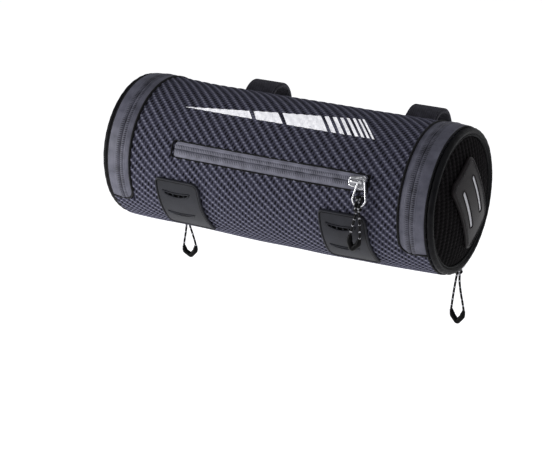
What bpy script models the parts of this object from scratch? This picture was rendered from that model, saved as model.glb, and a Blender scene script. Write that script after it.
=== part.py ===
"""Bicycle handlebar bag: a padded knitted tube with zipped round ends.

Metres, +Z up. The origin lies on the axis of the handlebar that the two
straps go round, midway between the straps. +X runs along the handlebar and
-Y is the front of the bag.
"""
import math

import bmesh
import bpy
from mathutils import Matrix, Vector

# Driving sizes, in metres and degrees
TUBE_LENGTH = 0.266          # knitted tube, between the two end rims
END_RADIUS = 0.0546          # outside of the tube at its ends
BELLY = 0.0013               # swell of the packed tube at mid-length
END_LIFT = 0.0014            # the loaded tube sags, so its ends ride higher
LEFT_SWELL = 0.0018          # the left end is packed fuller
LEFT_SWELL_START = -0.060
WALL = 0.003                 # padded knit
GAP = 0.0003                 # clearance between sewn pieces

BAND_WIDTH = 0.0200          # coated fabric with the end zip
BAND_THICKNESS = 0.0018
BAND_FRONT_ANGLE = -28.8     # lower front end of the band
BAND_REAR_ANGLE = 245.0      # lower rear end of the band
BAND_CORNER = 0.009
NOTCH_OVERRUN = 0.0024       # the tube's notch runs on past the tube's end
END_ZIP_INSET = 0.0085       # zip line from the band's inner seam
END_SLIDER_ANGLE = 233.0     # slider of the end zip, behind and below

RIM_WIDTH = 0.0052           # rolled edge of the end panel
RIM_STEP = 0.0008            # the roll stands this far inside the tube's outside
RIM_DEPTH = 0.0053           # from its outside to the end panel
RIM_LEAN = 0.0006            # its inner foot lies this far behind its face
PANEL_THICKNESS = 0.0030
PANEL_INSET = 0.0016         # edge of the end panel below the rim's face
PANEL_CROWN = 0.0072         # how far the end panel bulges at its middle

POCKET_ZIP_LEFT = -0.077     # pocket zip window, along the bag
POCKET_ZIP_RIGHT = 0.0875
POCKET_ZIP_LOW = 0.0150      # and round the bag, above its foremost line
POCKET_ZIP_HIGH = 0.0273
POCKET_ZIP_CORNER = 0.0022
POCKET_DEPTH = 0.0019
TAPE_THICKNESS = 0.0011

PATCH_LEFT_EDGES = (-0.0892, 0.0503)   # left edge of each rubber patch
PATCH_TOP = -0.0018
PATCH_WIDTH = 0.0395
PATCH_HEIGHT = 0.0445
PATCH_THICKNESS = 0.0017
PATCH_FLARE = 0.0024         # right edge swings out towards its foot
PATCH_CORNERS = (0.0035, 0.0060, 0.0012, 0.0200, 0.0060)
PATCH_SLOT_PLACE = 0.46      # slots' middle, as a share of the width
PATCH_SLOT_LENGTH = 0.0225
PATCH_SLOT_WIDTH = 0.0026
PATCH_SLOT_DROPS = (0.0120, 0.0305)

TAB_THICKNESS = 0.0022
TAB_REACH = 0.0375           # middle of the lash tab to its top and bottom
TAB_SIDE_REACH = 0.0330
TAB_SLANT = 0.0195           # how far the side corners are swung
TAB_CENTRE = (0.0020, -0.0009)
TAB_SLOT_CENTRE = (0.0003, 0.0012)
TAB_CORNER = 0.0062
TAB_SLOT_LENGTH = 0.0350
TAB_SLOT_WIDTH = 0.0034
TAB_SLOT_SPACING = 0.0170
TAB_SLOT_TILT = 27.0
REFLECTOR_THICKNESS = 0.0012

BAR_HOLE_RADIUS = 0.0166     # room for a 31.8 mm handlebar
STRAP_THICKNESS = 0.0022
STRAP_WIDTH = 0.0260
STRAP_SPACING = 0.1410
STRAP_OFFSET = 0.0045        # straps' middle from the bag's middle
STRAP_FOOT = 0.0300          # sewn length on the back of the bag
HANG_ANGLE = 19.0            # bar above the bag's axis, seen from behind

SLIDER_LENGTH = 0.0140
SLIDER_WIDTH = 0.0090
SLIDER_THICKNESS = 0.0030
SLIDER_NOSE = 0.72           # nose's width as a share of the tail's
SLIDER_CORNER = 0.0018
BRIDGE_WIDTH = 0.0024
BRIDGE_SINK = 0.0008         # the bridge's feet run into the slider's body
BRIDGE_CORNERS = (0.0014, 0.0020)
BRIDGE_POST = 0.0016
BRIDGE_BAR = 0.0012
BRIDGE_WINDOW = 0.0030
BRIDGE_START = -0.0030       # along the slider
BRIDGE_END = 0.0053
POCKET_SLIDER_X = 0.0795

WIRE = 0.0012                # diameter of the pull wire
WIRE_TOP = 0.0028            # half-widths of the pear-shaped wire loop
WIRE_BOTTOM = 0.0050
WIRE_LENGTH = 0.0195
WIRE_FOOT = 0.00375          # height of the loop's rounded foot
POCKET_WIRE_LEAN = 15.5      # the pocket's wire rests on its slider's edge

CORD = 0.0018
CORD_STEP = 0.0033
SLEEVE = 0.0042
SLEEVE_LENGTH = 0.0220
KNOT_WIDTH = 0.0062
KNOT_HEIGHT = 0.0070
KNOT_DEPTH = 0.0058

TUBE_SIDES = 48
TUBE_STEPS = 8               # rings along the tube
STRIP = 0.0058               # width of the flats that a wrapped piece bends in
LONG_STRIP = 0.0300          # and their length along the bag

# Routes of the pull cords below their knots: across the bag and down from
# the middle of the wire loop's foot, out of the knot and back into it
POCKET_ROUTE = (
    (-0.0013, -0.0040), (-0.0024, -0.0085), (-0.0038, -0.0140), (-0.0052, -0.0200),
    (-0.0062, -0.0262), (-0.0062, -0.0304), (-0.0040, -0.0323), (-0.0012, -0.0300),
    (0.0014, -0.0272), (0.0018, -0.0225), (0.0016, -0.0150), (0.0012, -0.0085),
    (0.0009, -0.0040))
RIGHT_ROUTE = (
    (-0.0013, -0.0040), (-0.0022, -0.0100), (-0.0034, -0.0190), (-0.0044, -0.0280),
    (-0.0048, -0.0350), (-0.0026, -0.0400), (0.0003, -0.0426), (0.0032, -0.0400),
    (0.0054, -0.0350), (0.0044, -0.0280), (0.0024, -0.0190), (0.0010, -0.0100),
    (0.0009, -0.0040))
LEFT_ROUTE = (
    (-0.0011, -0.0040), (-0.0012, -0.0100), (-0.0024, -0.0180), (-0.0038, -0.0260),
    (-0.0038, -0.0312), (-0.0008, -0.0336), (0.0032, -0.0346), (0.0062, -0.0318),
    (0.0078, -0.0276), (0.0066, -0.0220), (0.0042, -0.0150), (0.0020, -0.0090),
    (0.0011, -0.0040))

HALF = TUBE_LENGTH / 2
BAND_OUTER = HALF - GAP
BAND_INNER = HALF - BAND_WIDTH
BAG_MIDDLE_RADIUS = END_RADIUS + BELLY
HANG_DISTANCE = BAG_MIDDLE_RADIUS + GAP + STRAP_THICKNESS + BAR_HOLE_RADIUS
HANG = math.radians(HANG_ANGLE)
BAG_CENTRE = Vector((-STRAP_OFFSET, -HANG_DISTANCE * math.cos(HANG), -HANG_DISTANCE * math.sin(HANG)))

for old in list(bpy.data.objects):
    bpy.data.objects.remove(old, do_unlink=True)

PIECES = bpy.data.collections.new("handlebar_bag")
CUTTERS = bpy.data.collections.new("cutters")
bpy.context.scene.collection.children.link(PIECES)
bpy.context.scene.collection.children.link(CUTTERS)
BAG_AXIS = bpy.data.objects.new("bag_axis", None)
BAG_AXIS.location = BAG_CENTRE
PIECES.objects.link(BAG_AXIS)


def material(name, colour, roughness, metallic=0.0):
    made = bpy.data.materials.new(name)
    made.use_nodes = True
    shader = made.node_tree.nodes["Principled BSDF"]
    shader.inputs["Base Color"].default_value = (*colour, 1.0)
    shader.inputs["Roughness"].default_value = roughness
    shader.inputs["Metallic"].default_value = metallic
    return made


KNIT = material("knit", (0.045, 0.045, 0.055), 0.85)
COATED = material("coated_fabric", (0.075, 0.077, 0.088), 0.55)
RIM_FABRIC = material("rim_fabric", (0.012, 0.012, 0.014), 0.6)
RIBBED = material("ribbed_fabric", (0.008, 0.008, 0.010), 0.8)
RUBBER = material("rubber", (0.035, 0.036, 0.038), 0.5)
REFLECTIVE = material("reflective_film", (0.8, 0.8, 0.83), 0.35)
WEBBING = material("webbing", (0.020, 0.020, 0.023), 0.8)
SLIDER_METAL = material("slider_metal", (0.75, 0.75, 0.77), 0.25, 1.0)
WIRE_METAL = material("pull_wire", (0.72, 0.72, 0.74), 0.25, 1.0)
CORD_FABRIC = material("cord", (0.012, 0.012, 0.014), 0.8)
MOULDED = material("moulded_plastic", (0.010, 0.010, 0.011), 0.5)


def add(name, data, finish, cutter=False):
    """Puts a mesh or curve on the bag, or among the cutters."""
    made = bpy.data.objects.new(name, data)
    made.parent = BAG_AXIS
    if cutter:
        CUTTERS.objects.link(made)
        made.hide_render = True
        made.display_type = "WIRE"
    else:
        PIECES.objects.link(made)
        data.materials.append(finish)
    return made


def mesh_from(bm, name, smooth_angle=30.0):
    data = bpy.data.meshes.new(name)
    bm.to_mesh(data)
    bm.free()
    data.shade_smooth()
    data.set_sharp_from_angle(angle=math.radians(smooth_angle))
    return data


def face_out(bm):
    """Turns every face of a closed piece outwards."""
    bmesh.ops.recalc_face_normals(bm, faces=bm.faces[:])
    if bm.calc_volume(signed=True) < 0.0:
        bmesh.ops.reverse_faces(bm, faces=bm.faces[:])


def boolean(target, other, operation):
    step = target.modifiers.new(operation.lower(), "BOOLEAN")
    step.operation = operation
    step.object = other
    step.solver = "EXACT"


def bag_radius(x):
    """Outside radius of the tube: full in the middle and at its left end."""
    share = min(1.0, max(0.0, (LEFT_SWELL_START - x) / (LEFT_SWELL_START + HALF)))
    swell = LEFT_SWELL * share * share * (3.0 - 2.0 * share)
    return END_RADIUS + BELLY * (1.0 - (x / HALF) ** 2) + swell


def axis_height(x):
    """Height of the tube's sagging axis over its middle."""
    return END_LIFT * (x / HALF) ** 2


def rim_radius(side):
    return bag_radius(side * HALF) - RIM_STEP


def rim_hole(side):
    return rim_radius(side) - RIM_DEPTH


def on_bag(x, arc, height):
    """A point of the flat pattern, wrapped on the tube."""
    angle = arc / END_RADIUS
    radius = bag_radius(x) + height
    return Vector((x, -radius * math.cos(angle), axis_height(x) + radius * math.sin(angle)))


def arc_of(angle):
    return math.radians(angle) * END_RADIUS


def fillet(corners, radii, steps=5):
    """Outline through the corners, each rounded by its own radius."""
    points = []
    count = len(corners)
    for index, corner in enumerate(corners):
        here = Vector(corner)
        to_last = (Vector(corners[index - 1]) - here).normalized()
        to_next = (Vector(corners[(index + 1) % count]) - here).normalized()
        radius = radii[index]
        if radius <= 0.0:
            points.append(here)
            continue
        half = to_last.angle(to_next) / 2
        centre = here + (to_last + to_next).normalized() * (radius / math.sin(half))
        start = here + to_last * (radius / math.tan(half)) - centre
        finish = here + to_next * (radius / math.tan(half)) - centre
        sweep = start.angle_signed(finish)
        for step in range(steps + 1):
            turned = start.copy()
            turned.rotate(Matrix.Rotation(-sweep * step / steps, 2))
            points.append(centre + turned)
    return points


def slot_outline(middle, length, width, tilt=0.0, steps=5):
    """A stadium, its long side turned by tilt degrees from the first axis."""
    straight = (length - width) / 2
    points = []
    for end, first in ((1, -90.0), (-1, 90.0)):
        for step in range(steps + 1):
            turn = math.radians(first + 180.0 * step / steps)
            points.append(Vector((end * straight + math.cos(turn) * width / 2,
                                  math.sin(turn) * width / 2)))
    spin = Matrix.Rotation(math.radians(tilt), 2)
    return [Vector(middle) + spin @ point for point in points]


def flat_piece(loops, thickness):
    """Sheet cut to the outlines, lying from zero up to its thickness."""
    curve = bpy.data.curves.new("pattern", "CURVE")
    curve.dimensions = "2D"
    curve.fill_mode = "BOTH"
    curve.extrude = thickness / 2
    for loop in loops:
        spline = curve.splines.new("POLY")
        spline.points.add(len(loop) - 1)
        for point, place in zip(spline.points, loop):
            point.co = (place[0], place[1], 0.0, 1.0)
        spline.use_cyclic_u = True
    guide = bpy.data.objects.new("pattern", curve)
    CUTTERS.objects.link(guide)
    depsgraph = bpy.context.evaluated_depsgraph_get()
    sheet = bpy.data.meshes.new_from_object(guide.evaluated_get(depsgraph))
    bm = bmesh.new()
    bm.from_mesh(sheet)
    bpy.data.objects.remove(guide, do_unlink=True)
    bmesh.ops.remove_doubles(bm, verts=bm.verts[:], dist=1e-6)
    bmesh.ops.dissolve_limit(bm, angle_limit=math.radians(1.0), verts=bm.verts[:], edges=bm.edges[:])
    bmesh.ops.translate(bm, verts=bm.verts[:], vec=(0.0, 0.0, thickness / 2))
    face_out(bm)
    return bm


def slice_up(bm, axis, step):
    """Cuts the sheet across one axis so that it can bend there."""
    places = [vertex.co[axis] for vertex in bm.verts]
    low = math.floor(min(places) / step)
    high = math.ceil(max(places) / step)
    normal = Vector((0.0, 0.0, 0.0))
    normal[axis] = 1.0
    for index in range(low + 1, high):
        geometry = bm.verts[:] + bm.edges[:] + bm.faces[:]
        bmesh.ops.bisect_plane(bm, geom=geometry, dist=1e-7, plane_co=normal * (index * step), plane_no=normal)
    return bm


def wrap(bm, height):
    """Bends a flat sheet round the tube, its underside at the height."""
    slice_up(bm, 0, LONG_STRIP)
    slice_up(bm, 1, STRIP)
    for vertex in bm.verts:
        vertex.co = on_bag(vertex.co.x, vertex.co.y, height + vertex.co.z)
    face_out(bm)
    return bm


def turned(profile, side):
    """Closed profile of places along the axis and radii, turned about the
    tube's raised end."""
    bm = bmesh.new()
    ring = [bm.verts.new((side * x, 0.0, radius)) for x, radius in profile]
    edges = [bm.edges.new((ring[i - 1], ring[i])) for i in range(len(ring))]
    bmesh.ops.spin(bm, geom=ring + edges, cent=(0.0, 0.0, 0.0), axis=(1.0, 0.0, 0.0),
                   angle=2 * math.pi, steps=TUBE_SIDES, use_merge=True)
    bmesh.ops.remove_doubles(bm, verts=bm.verts[:], dist=1e-6)
    bmesh.ops.translate(bm, verts=bm.verts[:], vec=(0.0, 0.0, END_LIFT))
    face_out(bm)
    return bm


def tube_curve(name, points, diameter, closed=False):
    curve = bpy.data.curves.new(name, "CURVE")
    curve.dimensions = "3D"
    curve.bevel_depth = diameter / 2
    curve.bevel_resolution = 2
    curve.use_fill_caps = True
    spline = curve.splines.new("POLY")
    spline.points.add(len(points) - 1)
    for point, place in zip(spline.points, points):
        point.co = (*place, 1.0)
    spline.use_cyclic_u = closed
    return curve


def tube_mesh(name, points, diameter, closed=False):
    """A tube made a welded mesh, so that it can be cut or cut with."""
    curve = tube_curve(name, points, diameter, closed)
    guide = bpy.data.objects.new(name, curve)
    CUTTERS.objects.link(guide)
    depsgraph = bpy.context.evaluated_depsgraph_get()
    data = bpy.data.meshes.new_from_object(guide.evaluated_get(depsgraph))
    bpy.data.objects.remove(guide, do_unlink=True)
    bm = bmesh.new()
    bm.from_mesh(data)
    bmesh.ops.remove_doubles(bm, verts=bm.verts[:], dist=1e-6)
    face_out(bm)
    return mesh_from(bm, name)


def smooth_line(route, spacing):
    """Even points on a smooth curve through the route's own points."""
    ends = [route[0] * 2 - route[1]] + list(route) + [route[-1] * 2 - route[-2]]
    fine = []
    for a, b, c, d in zip(ends, ends[1:], ends[2:], ends[3:]):
        for step in range(12):
            t = step / 12
            fine.append(0.5 * (2 * b + (c - a) * t + (2 * a - 5 * b + 4 * c - d) * t * t
                               + (3 * b - a - 3 * c + d) * t ** 3))
    fine.append(route[-1])
    length = sum((q - p).length for p, q in zip(fine, fine[1:]))
    count = max(2, round(length / spacing))
    line = [fine[0]]
    walked = 0.0
    for p, q in zip(fine, fine[1:]):
        stretch = (q - p).length
        while len(line) < count and walked + stretch >= length * len(line) / count:
            line.append(p.lerp(q, (length * len(line) / count - walked) / stretch))
        walked += stretch
    line.append(fine[-1])
    return line


def band_outline(side, margin):
    """Zip band in the flat: square at the rim, rounded at its inner corners."""
    inner = BAND_INNER - margin
    outer = BAND_OUTER + (NOTCH_OVERRUN if margin else 0.0)
    low = arc_of(BAND_FRONT_ANGLE) - margin
    high = arc_of(BAND_REAR_ANGLE) + margin
    corners = [(inner, low), (outer, low), (outer, high), (inner, high)]
    radii = [BAND_CORNER + margin, 0.0, 0.0, BAND_CORNER + margin]
    return [Vector((side * x, y)) for x, y in fillet(corners, radii)]


def pocket_outline(margin):
    corners = [(POCKET_ZIP_LEFT - margin, POCKET_ZIP_LOW - margin),
               (POCKET_ZIP_RIGHT + margin, POCKET_ZIP_LOW - margin),
               (POCKET_ZIP_RIGHT + margin, POCKET_ZIP_HIGH + margin),
               (POCKET_ZIP_LEFT - margin, POCKET_ZIP_HIGH + margin)]
    return fillet(corners, [POCKET_ZIP_CORNER + margin] * 4)


def make_bag_body():
    """Padded knit tube, notched for the end bands and the pocket zip."""
    bm = bmesh.new()
    bmesh.ops.create_cone(bm, cap_ends=False, segments=TUBE_SIDES, radius1=1.0, radius2=1.0,
                          depth=TUBE_LENGTH, matrix=Matrix.Rotation(math.pi / 2, 4, "Y"))
    for index in range(1, TUBE_STEPS):
        ring = TUBE_LENGTH * (index / TUBE_STEPS - 0.5)
        bmesh.ops.bisect_plane(bm, geom=bm.verts[:] + bm.edges[:] + bm.faces[:], dist=1e-7,
                               plane_co=(ring, 0.0, 0.0), plane_no=(1.0, 0.0, 0.0))
    for vertex in bm.verts:
        radius = bag_radius(vertex.co.x)
        vertex.co.y *= radius
        vertex.co.z = vertex.co.z * radius + axis_height(vertex.co.x)
    face_out(bm)
    body = add("bag_body", mesh_from(bm, "bag_body"), KNIT)
    wall = body.modifiers.new("wall", "SOLIDIFY")
    wall.thickness = WALL
    wall.offset = -1.0
    for side, name in ((-1, "left"), (1, "right")):
        sheet = flat_piece([band_outline(side, GAP)], WALL * 2)
        notch = add("notch_" + name, mesh_from(wrap(sheet, -WALL * 1.5), "notch_" + name), None, True)
        boolean(body, notch, "DIFFERENCE")
    window = flat_piece([pocket_outline(0.0)], POCKET_DEPTH * 2)
    recess = add("pocket_recess", mesh_from(wrap(window, -POCKET_DEPTH), "pocket_recess"), None, True)
    boolean(body, recess, "DIFFERENCE")


def make_ends():
    """Zip band, rolled rim and bulging panel of each end."""
    for side, name in ((-1, "left"), (1, "right")):
        sheet = flat_piece([band_outline(side, 0.0)], BAND_THICKNESS)
        add("zip_band_" + name, mesh_from(wrap(sheet, -BAND_THICKNESS), "zip_band_" + name), COATED)

        start = HALF + GAP
        roll = RIM_WIDTH / 2
        crest = rim_radius(side) - roll
        profile = [(start, rim_hole(side)), (start, crest)]
        for step in range(1, 6):
            turn = math.pi - math.pi * step / 6
            profile.append((start + roll + roll * math.cos(turn), crest + roll * math.sin(turn)))
        profile += [(start + RIM_WIDTH, crest), (start + RIM_WIDTH - RIM_LEAN, rim_hole(side))]
        add("end_rim_" + name, mesh_from(turned(profile, side), "end_rim_" + name), RIM_FABRIC)

        rings = 5
        reach = rim_hole(side) - GAP
        shares = [step / rings for step in range(rings, -1, -1)]
        profile = [(panel_surface(share), reach * share) for share in shares]
        profile += [(panel_surface(share) - PANEL_THICKNESS, reach * share) for share in reversed(shares)]
        bm = bmesh.new()
        line = [bm.verts.new((side * x, 0.0, radius)) for x, radius in profile]
        edges = [bm.edges.new(pair) for pair in zip(line, line[1:])]
        edges.append(bm.edges.new((line[-1], line[0])))
        axis_edge = edges[rings]
        bm.edges.remove(axis_edge)
        edges.remove(axis_edge)
        bmesh.ops.spin(bm, geom=line + edges, cent=(0.0, 0.0, 0.0), axis=(1.0, 0.0, 0.0),
                       angle=2 * math.pi, steps=TUBE_SIDES // 2, use_merge=True)
        bmesh.ops.remove_doubles(bm, verts=bm.verts[:], dist=1e-6)
        bmesh.ops.translate(bm, verts=bm.verts[:], vec=(0.0, 0.0, END_LIFT))
        face_out(bm)
        add("end_panel_" + name, mesh_from(bm, "end_panel_" + name), RIBBED)


def panel_surface(share):
    """How far out the end panel's face lies at a share of its radius."""
    edge = HALF + RIM_WIDTH - PANEL_INSET
    return edge + PANEL_CROWN * (1.0 - share ** 2)


def on_panel(bm, height):
    """Lays a flat sheet, drawn as it is seen from the right, on the panel."""
    slice_up(bm, 0, STRIP * 2)
    slice_up(bm, 1, STRIP * 2)
    reach = rim_hole(1) - GAP
    for vertex in bm.verts:
        y, z, up = vertex.co
        vertex.co = (panel_surface(math.hypot(y, z) / reach) + height + up, y, z + END_LIFT)
    face_out(bm)
    return bm


def tab_slots(length, width):
    across = math.radians(TAB_SLOT_TILT)
    centre = Vector(TAB_SLOT_CENTRE)
    step = Vector((math.cos(across), math.sin(across))) * (TAB_SLOT_SPACING / 2)
    return [slot_outline(centre + sign * step, length, width, -90.0 + TAB_SLOT_TILT)
            for sign in (-1, 1)]


def make_lash_tab():
    """Rubber lash tab on the right end, with a reflective strip in each slot."""
    y, z = TAB_CENTRE
    corners = [(y, z + TAB_REACH), (y - TAB_SIDE_REACH, z + TAB_SLANT),
               (y, z - TAB_REACH), (y + TAB_SIDE_REACH, z - TAB_SLANT)]
    outline = fillet(corners, [TAB_CORNER] * 4)
    slots = tab_slots(TAB_SLOT_LENGTH, TAB_SLOT_WIDTH)
    tab = on_panel(flat_piece([outline] + slots, TAB_THICKNESS), GAP)
    add("lash_tab", mesh_from(tab, "lash_tab"), RUBBER)
    strips = tab_slots(TAB_SLOT_LENGTH - 2 * GAP, TAB_SLOT_WIDTH - 2 * GAP)
    for name, strip in zip(("front", "rear"), strips):
        piece = on_panel(flat_piece([strip], REFLECTOR_THICKNESS), GAP)
        add("reflector_" + name, mesh_from(piece, "reflector_" + name), REFLECTIVE)


def make_pocket_zip():
    tape = flat_piece([pocket_outline(-GAP)], TAPE_THICKNESS)
    add("pocket_zip", mesh_from(wrap(tape, GAP - POCKET_DEPTH), "pocket_zip"), COATED)


def make_patches():
    """Moulded rubber lash patches low on the front."""
    for edge, name in zip(PATCH_LEFT_EDGES, ("left", "right")):
        right = edge + PATCH_WIDTH
        low = PATCH_TOP - PATCH_HEIGHT
        corners = [(edge, PATCH_TOP), (edge + PATCH_FLARE / 2, low), (right + PATCH_FLARE, low),
                   (right, (PATCH_TOP + low) / 2), (right - PATCH_FLARE / 2, PATCH_TOP)]
        outline = fillet(corners, PATCH_CORNERS)
        middle = edge + PATCH_WIDTH * PATCH_SLOT_PLACE
        slots = [slot_outline((middle, PATCH_TOP - drop), PATCH_SLOT_LENGTH, PATCH_SLOT_WIDTH)
                 for drop in PATCH_SLOT_DROPS]
        patch = wrap(flat_piece([outline] + slots, PATCH_THICKNESS), GAP)
        add("patch_" + name, mesh_from(patch, "patch_" + name), RUBBER)


def make_straps():
    """Webbing loops round the bar, with a foot sewn to the back of the bag."""
    ring_outer = BAR_HOLE_RADIUS + STRAP_THICKNESS
    bar = Vector((0.0, HANG_DISTANCE * math.cos(HANG), HANG_DISTANCE * math.sin(HANG)))
    back_arc = arc_of(180.0 - HANG_ANGLE)
    for sign, name in ((-1, "left"), (1, "right")):
        x = STRAP_OFFSET + sign * STRAP_SPACING / 2
        circles = [[Vector((math.cos(turn) * radius, math.sin(turn) * radius))
                    for turn in (2 * math.pi * step / 40 for step in range(40))]
                   for radius in (ring_outer, BAR_HOLE_RADIUS)]
        loop = flat_piece(circles, STRAP_WIDTH)
        bmesh.ops.transform(loop, verts=loop.verts[:],
                            matrix=Matrix.Translation(bar + Vector((x - STRAP_WIDTH / 2, 0.0, 0.0)))
                            @ Matrix(((0, 0, 1, 0), (1, 0, 0, 0), (0, 1, 0, 0), (0, 0, 0, 1))))
        face_out(loop)
        strap = add("strap_" + name, mesh_from(loop, "strap_" + name), WEBBING)
        half_width = STRAP_WIDTH / 2
        half_foot = STRAP_FOOT / 2
        corners = [(x - half_width, back_arc - half_foot), (x + half_width, back_arc - half_foot),
                   (x + half_width, back_arc + half_foot), (x - half_width, back_arc + half_foot)]
        foot = wrap(flat_piece([[Vector(corner) for corner in corners]], STRAP_THICKNESS), GAP)
        guide = add("strap_foot_" + name, mesh_from(foot, "strap_foot_" + name), None, True)
        boolean(strap, guide, "UNION")


def slider_frame(place, along, outward):
    across = outward.cross(along)
    return Matrix.Translation(place) @ Matrix((
        (along.x, across.x, outward.x, 0.0), (along.y, across.y, outward.y, 0.0),
        (along.z, across.z, outward.z, 0.0), (0.0, 0.0, 0.0, 1.0)))


def make_slider(name, frame):
    """Slider body with the bridge that the pull wire hangs on."""
    nose = SLIDER_LENGTH / 2
    cheek = SLIDER_WIDTH / 2
    corners = [(-nose, -cheek * SLIDER_NOSE), (nose, -cheek), (nose, cheek), (-nose, cheek * SLIDER_NOSE)]
    body = flat_piece([fillet(corners, [SLIDER_CORNER] * 4, 3)], SLIDER_THICKNESS)
    bmesh.ops.transform(body, verts=body.verts[:], matrix=frame)
    slider = add(name, mesh_from(body, name), SLIDER_METAL)

    root = SLIDER_THICKNESS - BRIDGE_SINK
    lintel = SLIDER_THICKNESS + BRIDGE_WINDOW
    corners = [(BRIDGE_START, root), (BRIDGE_START + BRIDGE_POST, root),
               (BRIDGE_START + BRIDGE_POST, lintel), (BRIDGE_END - BRIDGE_POST, lintel),
               (BRIDGE_END - BRIDGE_POST, root), (BRIDGE_END, root),
               (BRIDGE_END, lintel + BRIDGE_BAR), (BRIDGE_START, lintel + BRIDGE_BAR)]
    arch = fillet(corners, [0.0] * 6 + list(BRIDGE_CORNERS), 3)
    bridge = flat_piece([arch], BRIDGE_WIDTH)
    upright = Matrix(((1, 0, 0, 0), (0, 0, -1, BRIDGE_WIDTH / 2), (0, 1, 0, 0), (0, 0, 0, 1)))
    bmesh.ops.transform(bridge, verts=bridge.verts[:], matrix=frame @ upright)
    guide = add(name + "_bridge", mesh_from(bridge, name + "_bridge"), None, True)
    boolean(slider, guide, "UNION")


def wire_line(place, down):
    """Pear-shaped loop across the bag: narrow where it hangs, wide below."""
    straight = WIRE_LENGTH - WIRE_TOP - WIRE_FOOT
    points = []
    for step in range(7):
        turn = math.pi * step / 6
        points.append((WIRE_TOP * math.cos(turn), WIRE_TOP * (1.0 - math.sin(turn))))
    for step in range(9):
        turn = math.pi * step / 8
        points.append((-WIRE_BOTTOM * math.cos(turn),
                       WIRE_TOP + straight + WIRE_FOOT * math.sin(turn)))
    return [place + Vector((x, 0.0, 0.0)) + down * drop for x, drop in points]


def make_pull(name, top, down, route):
    """Pull wire, the knot on its foot, the doubled cord and its moulded end."""
    line = wire_line(top, down)
    wire = tube_mesh("pull_wire_" + name, line, WIRE, True)
    add("pull_wire_" + name, wire, WIRE_METAL)

    foot = top + down * WIRE_LENGTH
    knot = bmesh.new()
    bmesh.ops.create_uvsphere(knot, u_segments=10, v_segments=6, radius=0.5)
    size = Matrix.Diagonal((KNOT_WIDTH, KNOT_DEPTH, KNOT_HEIGHT, 1.0))
    bmesh.ops.transform(knot, verts=knot.verts[:], matrix=Matrix.Translation(foot) @ size)
    knot = add("pull_knot_" + name, mesh_from(knot, "pull_knot_" + name), CORD_FABRIC)
    bore = tube_mesh("knot_bore_" + name, line, WIRE + 2 * GAP, True)
    boolean(knot, add("knot_bore_" + name, bore, None, True), "DIFFERENCE")

    points = [foot + Vector((x, 0.0, z)) for x, z in route]
    cord = smooth_line(points, CORD_STEP)
    add("pull_cord_" + name, tube_curve("pull_cord_" + name, cord, CORD), CORD_FABRIC)

    lowest = min(range(len(cord)), key=lambda index: cord[index].z)
    reach = round(SLEEVE_LENGTH / CORD_STEP / 2)
    covered = cord[lowest - reach:lowest + reach + 1]
    sleeve = add("pull_end_" + name, tube_mesh("pull_end_" + name, covered, SLEEVE), MOULDED)
    bored = cord[lowest - reach - 1:lowest + reach + 2]
    bore = tube_mesh("sleeve_bore_" + name, bored, CORD + 2 * GAP)
    boolean(sleeve, add("sleeve_bore_" + name, bore, None, True), "DIFFERENCE")


def make_pulls():
    along = Vector((1.0, 0.0, 0.0))
    arc = (POCKET_ZIP_LOW + POCKET_ZIP_HIGH) / 2
    seat = on_bag(POCKET_SLIDER_X, arc, 2 * GAP - POCKET_DEPTH + TAPE_THICKNESS)
    outward = Vector((0.0, seat.y, seat.z)).normalized()
    make_slider("slider_pocket", slider_frame(seat, along, outward))
    post = seat + along * (BRIDGE_END - BRIDGE_POST / 2)
    post += outward * (SLIDER_THICKNESS + BRIDGE_WINDOW / 2)
    lean = math.radians(POCKET_WIRE_LEAN)
    down = Vector((0.0, -math.sin(lean), -math.cos(lean)))
    make_pull("pocket", post - down * (WIRE_TOP - GAP), down, POCKET_ROUTE)

    down = Vector((0.0, 0.0, -1.0))
    for side, name, route in ((-1, "left", LEFT_ROUTE), (1, "right", RIGHT_ROUTE)):
        turn = math.radians(END_SLIDER_ANGLE)
        seat = on_bag(side * (BAND_INNER + END_ZIP_INSET), arc_of(END_SLIDER_ANGLE), GAP)
        outward = Vector((0.0, -math.cos(turn), math.sin(turn)))
        along = Vector((0.0, math.sin(turn), math.cos(turn)))
        make_slider("slider_" + name, slider_frame(seat, along, outward))
        hole = seat + outward * (SLIDER_THICKNESS + BRIDGE_WINDOW / 2)
        make_pull(name, hole + down * (WIRE / 2), down, route)


make_bag_body()
make_ends()
make_lash_tab()
make_pocket_zip()
make_patches()
make_straps()
make_pulls()
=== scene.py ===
"""Looks of a bicycle handlebar bag: a knitted tube with zipped round ends.

Metres, +Z up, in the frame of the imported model. Most pieces are drawn on the
tube's flat pattern, x along the bag and arc round it from its foremost line
upwards, and are then wrapped on the tube. The bag's front faces -Y.
"""
import math

import bmesh
import bpy
from mathutils import Matrix, Vector, noise


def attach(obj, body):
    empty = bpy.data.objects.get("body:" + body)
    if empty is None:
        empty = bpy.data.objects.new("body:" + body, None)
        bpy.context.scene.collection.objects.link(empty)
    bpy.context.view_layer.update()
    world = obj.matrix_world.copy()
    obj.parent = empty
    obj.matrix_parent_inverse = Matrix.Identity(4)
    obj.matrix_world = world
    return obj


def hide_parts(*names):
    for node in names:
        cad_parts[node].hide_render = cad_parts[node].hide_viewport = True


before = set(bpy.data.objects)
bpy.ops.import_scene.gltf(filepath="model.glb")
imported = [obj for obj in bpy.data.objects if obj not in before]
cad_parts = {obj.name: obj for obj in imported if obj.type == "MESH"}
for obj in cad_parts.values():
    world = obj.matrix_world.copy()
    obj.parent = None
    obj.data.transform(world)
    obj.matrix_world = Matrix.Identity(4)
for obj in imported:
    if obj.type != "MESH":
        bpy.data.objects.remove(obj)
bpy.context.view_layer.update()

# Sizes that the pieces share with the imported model
HALF = 0.133
END_RADIUS = 0.0546
BELLY = 0.0013
END_LIFT = 0.0014
LEFT_SWELL = 0.0018
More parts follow.
